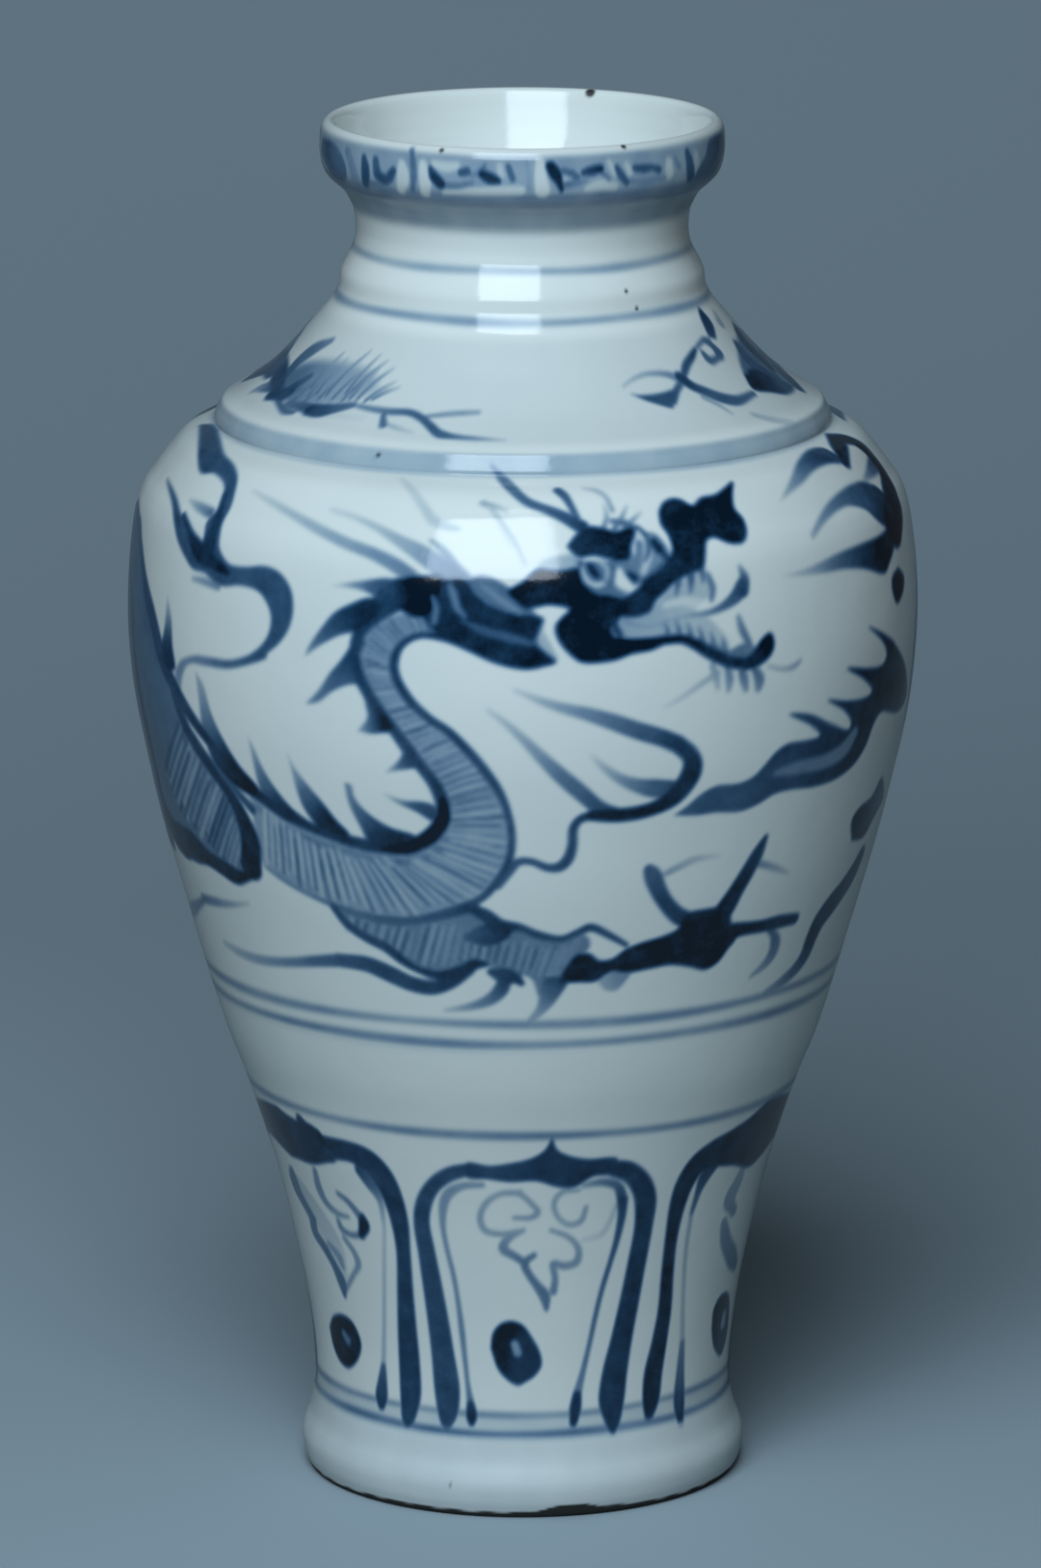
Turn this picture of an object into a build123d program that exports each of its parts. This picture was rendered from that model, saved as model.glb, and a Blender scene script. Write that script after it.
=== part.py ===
"""Meiping vase of blue and white porcelain, thrown in sections that are luted together with slip.

Millimetres. The origin is the centre of the circle that the foot stands on, and +Z is up the axis.
The whole clay wall is drawn once, as half of its section, and the joints cut it into the potter's
pieces, so neighbours share their faces.
"""

import os
from math import cos, radians, sin

from build123d import *

os.makedirs("parts", exist_ok=True)

# ---- Driving dimensions: the outside, from the foot up. A rise is measured from the level before it. ----
foot_edge_radius = 46.4  # outer edge of the unglazed ring that meets the table
foot_bevel = 1.6  # across the turned bevel above that edge
foot_bevel_rise = 1.5
foot_bulge = 3.2  # out from the foot's edge
foot_bulge_rise = 5.3
foot_shoulder_rise = 2.4  # where the foot's bulge turns hollow
foot_hollow_rise = 3.3
waist_radius = 46.0  # slimmest line, just above the foot
waist_rise = 7.0
foot_shoulder = 2.8  # out from the waist
foot_hollow = 1.2  # out from the waist

calf_spread = 2.4  # out from the waist, as the wall starts to spread
calf_rise = 23.5
knee_spread = 8.6
knee_rise = 26.9
thigh_spread = 12.6
thigh_rise = 12.3
flank_spread = 17.2  # out from the waist, where the wall stops hollowing and starts to swell
flank_rise = 12.4
swell_rise = 36.8
upper_swell_rise = 34.3
belly_under_rise = 12.3
belly_radius = 86.0  # widest line
belly_rise = 13.0
swell = 11.6  # in from the belly, as the next six are
upper_swell = 3.0
belly_under = 1.1
belly_over = 0.4
dome = 1.9
dome_turn = 4.8
crown = 9.2
crown_turn = 12.7
belly_over_rise = 12.0
dome_rise = 11.5
dome_turn_rise = 7.7
crown_rise = 5.6
crown_turn_rise = 3.8
crown_rim_radius = 67.4  # where the dome meets the carved ridge
crown_rim_rise = 2.3

groove_depth = 0.8  # turned grooves at the ridge and at the neck's two steps
groove_height = 0.8
ridge_lean = 1.3  # how far the ridge's face leans in
ridge_height = 2.9
ridge_round = 1.4  # rounding of the ridge's edge, across and up
slope_radius = 52.1  # middle of the shoulder's hollow slope
slope_rise = 9.1
slope_top_radius = 42.5
slope_top_rise = 11.5

tier_middle = 2.2  # in from the slope's top, on the step under the neck
tier_middle_rise = 3.4
tier_top = 3.4  # in from the slope's top
tier_top_rise = 4.8
neck_step = 6.5  # in from the slope's top to the slimmest line of the neck
neck_rise = 6.0
flare = 1.2  # out from the neck, at the undercut below the collar
flare_rise = 5.5
flare_turn = 2.9  # out from the neck
flare_turn_rise = 2.6
collar_overhang = 7.8  # out from the neck to the collar
collar_edge = 1.5  # in from the collar, at its lower edge
collar_edge_rise = 3.1
collar_swell = 0.4
collar_swell_rise = 2.1
collar_rise = 3.2
collar_top = 0.4
collar_top_rise = 4.3
lip_thickness = 3.4  # across the rounded lip
lip_rise = 2.1

# ---- Driving dimensions: thickness of the clay and the hollow foot. ----
collar_wall = 4.0
neck_wall = 5.0
shoulder_wall = 5.0
belly_wall = 5.0
flank_wall = 5.6
waist_wall = 5.1
mouth_drop = 6.0  # depth of the mouth's straight part under the lip
funnel_turn = 0.5  # in from the neck's outside, where the mouth's funnel turns into the throat's
funnel_rise = 7.8
foot_recess = 5.2  # depth of the hollow under the base
foot_recess_taper = 0.9
base_ledge = 3.0  # ledge in the foot that carries the base disc
base_thickness = 8.5
base_edge_bevel = 1.0

# ---- Driving dimensions: joints. A tilt is the joint's rise towards the axis, in degrees. ----
slip_thickness = 0.6
foot_joint_drop = 2.0  # below the waist
foot_joint_tilt = 18.0
flank_joint_rise = 5.4  # above the flank
flank_joint_tilt = 22.0
belly_joint_drop = 13.0  # below the widest line
belly_joint_tilt = 12.0
shoulder_joint_tilt = -42.0
neck_joint_tilt = 20.0
collar_joint_drop = 0.6  # below the collar's edge
collar_joint_tilt = 14.0

# ---- Radii that follow their neighbours. ----
neck_radius = slope_top_radius - neck_step
collar_radius = neck_radius + collar_overhang
well_radius = waist_radius - waist_wall
flank_radius = waist_radius + flank_spread

# ---- Levels worked out from the rises. ----
foot_bulge_z = foot_bevel_rise + foot_bulge_rise
foot_shoulder_z = foot_bulge_z + foot_shoulder_rise
foot_hollow_z = foot_shoulder_z + foot_hollow_rise
waist_z = foot_hollow_z + waist_rise
calf_z = waist_z + calf_rise
knee_z = calf_z + knee_rise
thigh_z = knee_z + thigh_rise
flank_z = thigh_z + flank_rise
swell_z = flank_z + swell_rise
upper_swell_z = swell_z + upper_swell_rise
belly_under_z = upper_swell_z + belly_under_rise
belly_z = belly_under_z + belly_rise
belly_over_z = belly_z + belly_over_rise
dome_z = belly_over_z + dome_rise
dome_turn_z = dome_z + dome_turn_rise
crown_z = dome_turn_z + crown_rise
crown_turn_z = crown_z + crown_turn_rise
crown_rim_z = crown_turn_z + crown_rim_rise
ridge_z = crown_rim_z + groove_height
ridge_edge_z = ridge_z + ridge_height
slope_start_z = ridge_edge_z + ridge_round
slope_z = slope_start_z + slope_rise
slope_top_z = slope_z + slope_top_rise
tier_z = slope_top_z + 2 * groove_height
tier_middle_z = tier_z + tier_middle_rise
tier_top_z = tier_middle_z + tier_top_rise
neck_base_z = tier_top_z + 2 * groove_height
neck_z = neck_base_z + neck_rise
flare_z = neck_z + flare_rise
flare_turn_z = flare_z + flare_turn_rise
collar_edge_z = flare_turn_z + collar_edge_rise
collar_swell_z = collar_edge_z + collar_swell_rise
collar_z = collar_swell_z + collar_rise
collar_top_z = collar_z + collar_top_rise
lip_z = collar_top_z + lip_rise

# ---- Stations of the outside, as (radius, height). ----
foot_edge_at = (foot_edge_radius, 0)
foot_bevel_at = (foot_edge_radius + foot_bevel, foot_bevel_rise)
foot_bulge_at = (foot_edge_radius + foot_bulge, foot_bulge_z)
foot_shoulder_at = (waist_radius + foot_shoulder, foot_shoulder_z)
foot_hollow_at = (waist_radius + foot_hollow, foot_hollow_z)
waist_at = (waist_radius, waist_z)
calf_at = (waist_radius + calf_spread, calf_z)
knee_at = (waist_radius + knee_spread, knee_z)
thigh_at = (waist_radius + thigh_spread, thigh_z)
flank_at = (flank_radius, flank_z)
swell_at = (belly_radius - swell, swell_z)
upper_swell_at = (belly_radius - upper_swell, upper_swell_z)
belly_under_at = (belly_radius - belly_under, belly_under_z)
belly_at = (belly_radius, belly_z)
belly_over_at = (belly_radius - belly_over, belly_over_z)
dome_at = (belly_radius - dome, dome_z)
dome_turn_at = (belly_radius - dome_turn, dome_turn_z)
crown_at = (belly_radius - crown, crown_z)
crown_turn_at = (belly_radius - crown_turn, crown_turn_z)
crown_rim_at = (crown_rim_radius, crown_rim_z)
ridge_groove_at = (crown_rim_radius - groove_depth, crown_rim_z + groove_height / 2)
ridge_at = (crown_rim_radius - groove_depth / 2, ridge_z)
ridge_edge_at = (ridge_at[0] - ridge_lean, ridge_edge_z)
ridge_crest_at = (ridge_edge_at[0] - 0.35 * ridge_round, ridge_edge_z + 0.65 * ridge_round)
slope_start_at = (ridge_edge_at[0] - ridge_round, slope_start_z)
slope_at = (slope_radius, slope_z)
slope_top_at = (slope_top_radius, slope_top_z)
tier_groove_at = (slope_top_radius - 2 * groove_depth, slope_top_z + groove_height)
tier_at = (slope_top_radius - groove_depth, tier_z)
tier_middle_at = (slope_top_radius - tier_middle, tier_middle_z)
tier_top_at = (slope_top_radius - tier_top, tier_top_z)
neck_groove_at = (tier_top_at[0] - 2 * groove_depth, tier_top_z + groove_height)
neck_base_at = (tier_top_at[0] - groove_depth, neck_base_z)
neck_at = (neck_radius, neck_z)
flare_at = (neck_radius + flare, flare_z)
flare_turn_at = (neck_radius + flare_turn, flare_turn_z)
collar_edge_at = (collar_radius - collar_edge, collar_edge_z)
collar_swell_at = (collar_radius - collar_swell, collar_swell_z)
collar_at = (collar_radius, collar_z)
collar_top_at = (collar_radius - collar_top, collar_top_z)
lip_crest_at = (collar_top_at[0] - lip_thickness / 2, lip_z)

# ---- Stations of the inside, from the lip down. ----
slope_share = shoulder_wall / 2**0.5  # the slope lies at about 45 degrees: its wall's share along each axis
lip_inner = (collar_top_at[0] - lip_thickness, collar_top_z)
mouth = (collar_radius - collar_wall, collar_top_z - mouth_drop)
funnel = (neck_radius - funnel_turn, neck_z + funnel_rise)
throat = (neck_radius - neck_wall, neck_z)
throat_base = (neck_radius - neck_wall, tier_top_z)
slope_top_inner = (slope_top_radius - slope_share, slope_top_z - slope_share)
slope_inner = (slope_radius - slope_share, slope_z - slope_share)
slope_start_inner = (slope_start_at[0] - slope_share, slope_start_z - slope_share)
crown_inner = (crown_at[0] - slope_share, crown_z - slope_share)
dome_inner = (dome_at[0] - belly_wall, dome_z)
belly_inner = (belly_radius - belly_wall, belly_z)
upper_swell_inner = (upper_swell_at[0] - belly_wall, upper_swell_z)
flank_inner = (flank_radius - flank_wall, flank_z)
calf_inner = (calf_at[0] - waist_wall, calf_z)
well_top = (well_radius, waist_z)
well_base = (well_radius, foot_recess)
recess_top = (well_radius - base_ledge, foot_recess)
recess = (recess_top[0] + foot_recess_taper, 0)


def banded_arc(start, middle, end, bands):
    """Draws the arc through three stations, in that many straight bands of a turned surface."""
    arc = ThreePointArc(start, middle, end, mode=Mode.PRIVATE)
    Polyline(*(arc @ (band / bands) for band in range(bands + 1)))


# ---- The clay wall: half of its section, foot ring included. ----
with BuildSketch(Plane.XZ) as wall:
    with BuildLine():
        # Foot: the ring it stands on, the turned bevel, the bulge and the hollow up to the waist.
        Polyline(recess, foot_edge_at, foot_bevel_at)
        banded_arc(foot_bevel_at, foot_bulge_at, foot_shoulder_at, bands=3)
        banded_arc(foot_shoulder_at, foot_hollow_at, waist_at, bands=2)
        # The long wall, hollow at first and then swelling to the belly's widest line.
        banded_arc(waist_at, calf_at, knee_at, bands=3)
        banded_arc(knee_at, thigh_at, flank_at, bands=2)
        banded_arc(flank_at, swell_at, upper_swell_at, bands=3)
        banded_arc(upper_swell_at, belly_under_at, belly_at, bands=2)
        # The dome, turning over to the carved ridge.
        banded_arc(belly_at, belly_over_at, dome_at, bands=2)
        banded_arc(dome_at, dome_turn_at, crown_at, bands=3)
        banded_arc(crown_at, crown_turn_at, crown_rim_at, bands=2)
        # Groove, leaning face and rounded edge of the ridge, then the shoulder's hollow slope.
        Polyline(crown_rim_at, ridge_groove_at, ridge_at, ridge_edge_at)
        banded_arc(ridge_edge_at, ridge_crest_at, slope_start_at, bands=2)
        banded_arc(slope_start_at, slope_at, slope_top_at, bands=3)
        # Lower groove, step and upper groove of the neck.
        Polyline(slope_top_at, tier_groove_at, tier_at, tier_middle_at, tier_top_at)
        Polyline(tier_top_at, neck_groove_at, neck_base_at)
        # The neck, its undercut flare, the collar and the rolled lip.
        banded_arc(neck_base_at, neck_at, flare_at, bands=3)
        banded_arc(flare_at, flare_turn_at, collar_edge_at, bands=2)
        banded_arc(collar_edge_at, collar_swell_at, collar_at, bands=2)
        Line(collar_at, collar_top_at)
        banded_arc(collar_top_at, lip_crest_at, lip_inner, bands=5)
        # The hidden inside, in the flat bands that the potter's rib leaves, down to the well over the foot.
        Polyline(
            lip_inner,
            mouth,
            funnel,
            throat,
            throat_base,
            slope_top_inner,
            slope_inner,
            slope_start_inner,
            crown_inner,
            dome_inner,
            belly_inner,
            upper_swell_inner,
            flank_inner,
            calf_inner,
            well_top,
            well_base,
            recess_top,
            recess,
        )
    make_face()

# ---- Joints: a point that each runs through, and its tilt. ----
foot_joint = (waist_radius, waist_z - foot_joint_drop, foot_joint_tilt)
flank_joint = (flank_radius, flank_z + flank_joint_rise, flank_joint_tilt)
belly_joint = (belly_radius, belly_z - belly_joint_drop, belly_joint_tilt)
shoulder_joint = (*ridge_groove_at, shoulder_joint_tilt)
neck_joint = (*tier_groove_at, neck_joint_tilt)
collar_joint = (collar_edge_at[0], collar_edge_z - collar_joint_drop, collar_joint_tilt)
beyond = 2 * lip_z  # reaches past the whole section


def keep_side(joint, side, offset=slip_thickness / 2):
    """Trims the section being drawn to one side of a joint: +1 is above it, -1 below."""
    radius, height, tilt = joint
    along = Vector(-cos(radians(tilt)), sin(radians(tilt)))
    across = Vector(sin(radians(tilt)), cos(radians(tilt))) * side
    start = Vector(radius, height) + across * offset
    corners = (
        start - along * beyond,
        start + along * beyond,
        start + (along + across) * beyond,
        start + (across - along) * beyond,
    )
    Polygon(*corners, align=None, mode=Mode.INTERSECT)


def finish(part, name):
    """Labels a finished piece and writes it."""
    part.label = name
    export_step(part, f"parts/{name}.step")
    print(name, len(part.solids()), "solid", round(part.volume / 1000, 2), "cm3")


def thrown_section(name, below=None, above=None):
    """Writes the ring of wall between two joints."""
    with BuildPart() as section:
        with BuildSketch(Plane.XZ):
            add(wall.sketch_local)
            if below:
                keep_side(below, +1)
            if above:
                keep_side(above, -1)
        revolve(axis=Axis.Z)
    finish(section.part, name)


def slip_seam(name, joint):
    """Writes the thin layer of slip that fills a joint from the outside to the hollow."""
    with BuildPart() as seam:
        with BuildSketch(Plane.XZ):
            add(wall.sketch_local)
            keep_side(joint, +1, -slip_thickness / 2)
            keep_side(joint, -1, -slip_thickness / 2)
        revolve(axis=Axis.Z)
    finish(seam.part, name)


# ---- Thrown sections, from the mouth down. ----
thrown_section("mouth_collar", below=collar_joint)
thrown_section("neck", below=neck_joint, above=collar_joint)
thrown_section("shoulder", below=shoulder_joint, above=neck_joint)
thrown_section("upper_belly", below=belly_joint, above=shoulder_joint)
thrown_section("lower_belly", below=flank_joint, above=belly_joint)
thrown_section("lower_body", below=foot_joint, above=flank_joint)
thrown_section("foot_ring", above=foot_joint)

# ---- Slip between them. ----
slip_seam("collar_slip", collar_joint)
slip_seam("neck_slip", neck_joint)
slip_seam("shoulder_slip", shoulder_joint)
slip_seam("belly_slip", belly_joint)
slip_seam("flank_slip", flank_joint)
slip_seam("foot_slip", foot_joint)

# ---- Base disc, dropped in from above on to the foot's ledge, in a bed of slip. ----
disc_radius = well_radius - slip_thickness
disc_z = foot_recess + slip_thickness
disc_shoulder_z = disc_z + base_thickness - base_edge_bevel
with BuildPart() as base_disc:
    with BuildSketch(Plane.XZ):
        with BuildLine():
            Polyline(
                (0, disc_z),
                (disc_radius, disc_z),
                (disc_radius, disc_shoulder_z),
                (disc_radius - base_edge_bevel, disc_z + base_thickness),
                (0, disc_z + base_thickness),
                close=True,
            )
        make_face()
    revolve(axis=Axis.Z)
finish(base_disc.part, "base_disc")

with BuildPart() as base_slip:
    with BuildSketch(Plane.XZ):
        with BuildLine():
            Polyline(
                recess_top,
                well_base,
                (well_radius, disc_shoulder_z),
                (disc_radius, disc_shoulder_z),
                (disc_radius, disc_z),
                (recess_top[0], disc_z),
                close=True,
            )
        make_face()
    revolve(axis=Axis.Z)
finish(base_slip.part, "base_slip")
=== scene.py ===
"""Blue and white porcelain meiping vase: a glazed, painted skin for each of its thrown sections.

The model is in metres, +Z up the axis and the painted face towards -Y. The outline and the painting are
worked out in millimetres. Angles run round the axis from the painted face, positive to the right.
"""

import bpy
import numpy as np
from mathutils import Euler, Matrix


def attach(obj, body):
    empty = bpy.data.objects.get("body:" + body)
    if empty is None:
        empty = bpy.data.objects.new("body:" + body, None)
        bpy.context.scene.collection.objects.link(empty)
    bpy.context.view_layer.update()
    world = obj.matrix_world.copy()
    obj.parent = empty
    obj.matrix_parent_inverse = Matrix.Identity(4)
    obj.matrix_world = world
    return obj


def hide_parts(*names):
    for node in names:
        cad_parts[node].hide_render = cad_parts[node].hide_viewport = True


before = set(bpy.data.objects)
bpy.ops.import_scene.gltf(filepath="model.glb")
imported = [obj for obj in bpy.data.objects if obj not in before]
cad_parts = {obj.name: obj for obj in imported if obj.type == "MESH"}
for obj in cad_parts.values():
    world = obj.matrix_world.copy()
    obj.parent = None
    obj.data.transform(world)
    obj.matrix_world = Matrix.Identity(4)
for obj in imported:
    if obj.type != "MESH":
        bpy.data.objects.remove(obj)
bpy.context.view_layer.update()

MM = 0.001  # m
TINY = 1e-9  # keeps divisions off zero, and rows from doubling

# ---- Camera, in the photograph's frame ----
PHOTO_WIDTH, PHOTO_HEIGHT = 1080, 1626  # pixels
AXIS_X = 542  # the vase's axis in the photograph
CAMERA_DISTANCE, CAMERA_HEIGHT = 2150.0, 645.0  # mm
CAMERA_PITCH = np.radians(12.8966)  # downwards
FOCAL_PIXELS = 10480.0
SENSOR = 36.0  # mm
FARTHEST_SEEN = 20  # m


def place_camera():
    """The camera, at the photograph's place and framing."""
    camera = bpy.data.objects.new("camera", bpy.data.cameras.new("camera"))
    bpy.context.collection.objects.link(camera)
    camera.location = (0, -CAMERA_DISTANCE * MM, CAMERA_HEIGHT * MM)
    camera.rotation_euler = Euler((np.pi / 2 - CAMERA_PITCH, 0, 0))
    camera.data.sensor_fit = "VERTICAL"
    camera.data.sensor_height = SENSOR
    camera.data.lens = FOCAL_PIXELS * SENSOR / PHOTO_HEIGHT
    camera.data.shift_x = (PHOTO_WIDTH / 2 - AXIS_X) / PHOTO_HEIGHT
    camera.data.clip_end = FARTHEST_SEEN
    bpy.context.scene.camera = camera


place_camera()

# ---- The glazed outline: smooth runs of (radius, height). A new run starts at each sharp turn. ----
OUTER_RUNS = (
    # edge of the foot
    ((46.4, 0.0), (47.2, 0.5), (47.8, 1.6)),
    # foot, waist and belly, up to the carved ridge
    ((47.8, 1.6), (48.5, 3.8), (48.8, 6.8), (48.3, 9.2), (47.2, 12.2), (46.4, 16.2), (46.0, 19.5),
        (46.2, 25.0), (47.0, 34.0), (48.4, 43.0), (50.3, 52.0), (52.4, 61.0), (54.7, 70.0), (57.8, 80.0),
        (61.3, 90.0), (65.3, 100.5), (69.6, 114.5), (74.5, 131.5), (79.2, 148.6), (83.0, 165.7),
        (85.0, 178.0), (85.95, 191.0), (85.5, 203.2), (84.1, 214.5), (82.4, 219.9), (79.9, 223.6),
        (76.8, 227.7), (73.2, 231.4), (67.7, 233.9)),
    # groove and face of the ridge
    ((67.7, 233.9), (66.8, 234.3), (66.95, 234.8)),
    ((66.95, 234.8), (66.5, 236.2), (65.7, 237.6), (65.2, 238.5), (63.9, 239.3)),
    # shoulder, neck, collar and lip, and down into the mouth
    ((63.9, 239.3), (59.6, 242.0), (54.7, 245.6), (50.0, 250.4), (46.0, 255.1), (42.15, 259.6),
        (41.4, 260.6), (40.75, 261.6), (40.2, 262.6), (39.75, 263.6), (39.6, 264.4), (39.5, 265.4),
        (39.4, 266.4), (39.15, 267.4), (38.75, 268.3), (38.25, 269.3), (37.65, 270.4), (37.0, 271.6),
        (36.45, 273.0), (36.15, 274.5), (36.0, 276.8), (36.4, 280.3), (37.3, 282.5), (38.7, 284.8),
        (40.9, 286.8), (42.4, 288.3), (43.3, 290.2), (43.75, 292.6), (43.75, 295.0), (43.5, 297.6),
        (42.9, 299.0), (41.7, 299.8), (40.6, 299.2), (40.05, 297.6), (39.6, 295.3), (38.9, 292.6)),
)
INNER_RUN = (
    (38.9, 292.6), (37.9, 290.0), (36.5, 287.5), (34.7, 284.9), (32.6, 281.2), (31.0, 277.0),
    (30.9, 272.0), (32.2, 266.5), (35.0, 261.0), (39.0, 256.0), (48.6, 244.6), (60.8, 235.5),
    (73.3, 224.3), (79.1, 214.5), (81.0, 191.0), (78.0, 165.7), (68.2, 131.5), (57.6, 94.6),
    (49.5, 68.0), (43.3, 43.0), (40.9, 20.0), (40.9, 12.0),
)
FOOT_WELL = ((40.9, 5.2), (37.9, 5.2), (38.8, 0.0))  # ledge, recess and inner edge of the unglazed ring

# ---- Luted joints: where each meets the outside (radius, height), and its rise to the axis in degrees ----
JOINTS = {
    "foot_slip": (46.0, 17.5, 18.0),
    "flank_slip": (63.2, 100.0, 22.0),
    "belly_slip": (86.0, 178.0, 12.0),
    "shoulder_slip": (66.6, 234.3, -42.0),
    "neck_slip": (40.9, 260.4, 20.0),
    "collar_slip": (42.3, 287.6, 14.0),
}
SECTIONS = ("foot_ring", "lower_body", "lower_belly", "upper_belly", "shoulder", "neck", "mouth_collar")
SLIP_THICKNESS = 0.6

# ---- Lattice of the painted skin ----
OUTER_STEP, INNER_STEP = 0.1, 0.5  # along the outlines
CORNER_POINTS = 11  # of the outer outline, over which the glaze rounds a corner
PAINTED_STEP, PLAIN_STEP = 0.5, 1.2  # between rows
SHORTEST_STEP = 0.4 * PAINTED_STEP
PLAIN_BANDS = ((4.5, 16.5), (93.0, 109.0))  # heights with no painting
FRONT_HALF_ANGLE = 100.0  # degrees
FRONT_STEP, BACK_STEP = 0.35, 0.5  # degrees between columns


def smooth_run(points, step=0.25):
    """Catmull-Rom curve through a run of points, at about that step."""
    p = np.array(points, float)
    ends = np.vstack([2 * p[0] - p[1], p, 2 * p[-1] - p[-2]])
    out = []
    for a, b, c, d in zip(ends, ends[1:], ends[2:], ends[3:]):
        count = max(2, int(np.hypot(*(c - b)[:2]) / step) + 1)
        t = np.linspace(0, 1, count, endpoint=False)[:, None]
        out.append(b + 0.5 * t * (c - a + t * (2 * a - 5 * b + 4 * c - d + t * (3 * (b - c) + d - a))))
    out.append(p[-1:])
    return np.vstack(out)


def resampled(points, step):
    """A polyline at even steps, with its arc length."""
    gaps = np.hypot(*np.diff(points, axis=0).T)
    along = np.concatenate([[0], np.cumsum(gaps)])
    even = np.linspace(0, along[-1], int(along[-1] / step) + 1)
    return even, np.column_stack([np.interp(even, along, points[:, k]) for k in (0, 1)])


def softened(points, width):
    """A polyline rounded over that many of its points, its ends kept, as glaze fills its corners."""
    kernel = np.hanning(width + 2)[1:-1]
    kernel /= kernel.sum()
    pad = width // 2
    padded = np.pad(points, ((pad, pad), (0, 0)), mode="edge")
    soft = np.column_stack([np.convolve(padded[:, k], kernel, mode="valid") for k in (0, 1)])
    soft[:pad] = points[:pad]
    soft[-pad:] = points[-pad:]
    return soft


outline = np.vstack([smooth_run(run)[:-1] for run in OUTER_RUNS] + [OUTER_RUNS[-1][-1:]])
outer_s, outer = resampled(outline, OUTER_STEP)
outer = softened(outer, CORNER_POINTS)
lip_index = int(outer[:, 1].argmax())
wall_s, wall = outer_s[:lip_index], outer[:lip_index]  # the outside alone, up to the lip's crest
inner_s, inner = resampled(smooth_run(INNER_RUN), INNER_STEP)


def s_at(height):
    """Arc length of the outside at a height."""
    return np.interp(height, wall[:, 1], wall_s)


def crossing(s, points, joint, offset):
    """Arc length at which an outline crosses a joint's plane moved up by offset."""
    radius, height, tilt = joint
    slope = np.radians(tilt)
    side = (points[:, 0] - radius) * np.sin(slope) + (points[:, 1] - height) * np.cos(slope) - offset
    hits = np.nonzero(np.diff(np.sign(side)))[0]
    k = hits[np.argmin(np.hypot(*(points[hits] - (radius, height)).T))]
    return s[k] + (s[k + 1] - s[k]) * side[k] / (side[k] - side[k + 1])


def seam_edges(s, points):
    """Arc lengths of the lower and upper edge of each seam on an outline."""
    edges = (-SLIP_THICKNESS / 2, SLIP_THICKNESS / 2)
    return {name: [crossing(s, points, joint, edge) for edge in edges] for name, joint in JOINTS.items()}


seam_outer = seam_edges(wall_s, wall)
seam_inner = seam_edges(inner_s, inner)


def lattice_rows():
    """Arc lengths of the skin's rows: fine where it is painted, and one on each edge of each seam."""
    edges = sorted([0.0, outer_s[-1]] + [s for pair in seam_outer.values() for s in pair])
    found = []
    for a, b in zip(edges, edges[1:]):
        s = a
        while s < b - TINY:
            found.append(s)
            height = np.interp(s, outer_s, outer[:, 1])
            plain = any(low < height < high for low, high in PLAIN_BANDS)
            s += PLAIN_STEP if plain else PAINTED_STEP
            if b - s < SHORTEST_STEP:
                s = b
    return np.array(found + [edges[-1]])


def lattice_columns():
    """Angles of the skin's columns, in radians, from -180 degrees up."""
    front = np.arange(-FRONT_HALF_ANGLE, FRONT_HALF_ANGLE, FRONT_STEP)
    back = np.arange(FRONT_HALF_ANGLE, 360 - FRONT_HALF_ANGLE, BACK_STEP)
    degrees = np.concatenate([back[back > 180] - 360, front, back[back <= 180]])
    return np.radians(degrees)


rows = lattice_rows()
columns = lattice_columns()
row_radius = np.interp(rows, outer_s, outer[:, 0])
row_height = np.interp(rows, outer_s, outer[:, 1])

# ---- Hand-thrown unevenness ----
# Swellings: (mm, how many round the vase, phase, mm of height for each radian that they lean)
SWELLINGS = ((0.10, 2, 0.7, 60.0), (0.07, 3, -1.9, 37.0), (0.03, 7, 0.0, 11.0))
# Ribs that the fingers leave: mm, mm of height for each radian, and radians that they sway
RIB_SWELL, RIB_RISE, RIB_SWAY = 0.05, 5.3, 0.9
SET_IN = 0.2  # mm that the skin is moved in, which takes up most of its swellings
VASE_HEIGHT = 300
FOOT_FADE, LIP_FADE = 12, 8  # mm over which the swellings fade at either end
NORMAL_STEP, NORMAL_TURN = 0.15, 0.002  # mm and radians to each side of a normal's place


def surface(radius, height, angle):
    """Points in mm of the thrown surface: nearly round, and a touch uneven from the potter's hand."""
    wave = RIB_SWELL * np.sin(height / RIB_RISE + RIB_SWAY * np.sin(angle))
    for swell, count, phase, lean in SWELLINGS:
        wave = wave + swell * np.sin(count * angle + phase + height / lean)
    steady = np.clip(height / FOOT_FADE, 0, 1) * np.clip((VASE_HEIGHT - height) / LIP_FADE, 0, 1)
    r = radius + (wave - SET_IN) * steady
    return np.stack([r * np.sin(angle), -r * np.cos(angle), height + 0 * angle], axis=-1)


def skin_normals(s, angle):
    """Outward normals of the thrown surface at arc lengths s and angles."""

    def at(ds, da):
        """Points a little way along and round from these."""
        moved = np.clip(s + ds, 0, outer_s[-1])
        radius, height = (np.interp(moved, outer_s, outer[:, k]) for k in (0, 1))
        return surface(radius, height, angle + da)

    round_it = at(0, NORMAL_TURN) - at(0, -NORMAL_TURN)
    up_it = at(NORMAL_STEP, 0) - at(-NORMAL_STEP, 0)
    normal = np.cross(round_it, up_it)
    return normal / np.linalg.norm(normal, axis=-1, keepdims=True)


# ---- Painting: what lies on the lattice ----
cobalt = np.zeros((len(rows), len(columns)), np.float32)
iron_and_shade = np.zeros_like(cobalt)  # iron specks, painted shade, and the foot rim's grime and painted contact shadow

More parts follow.
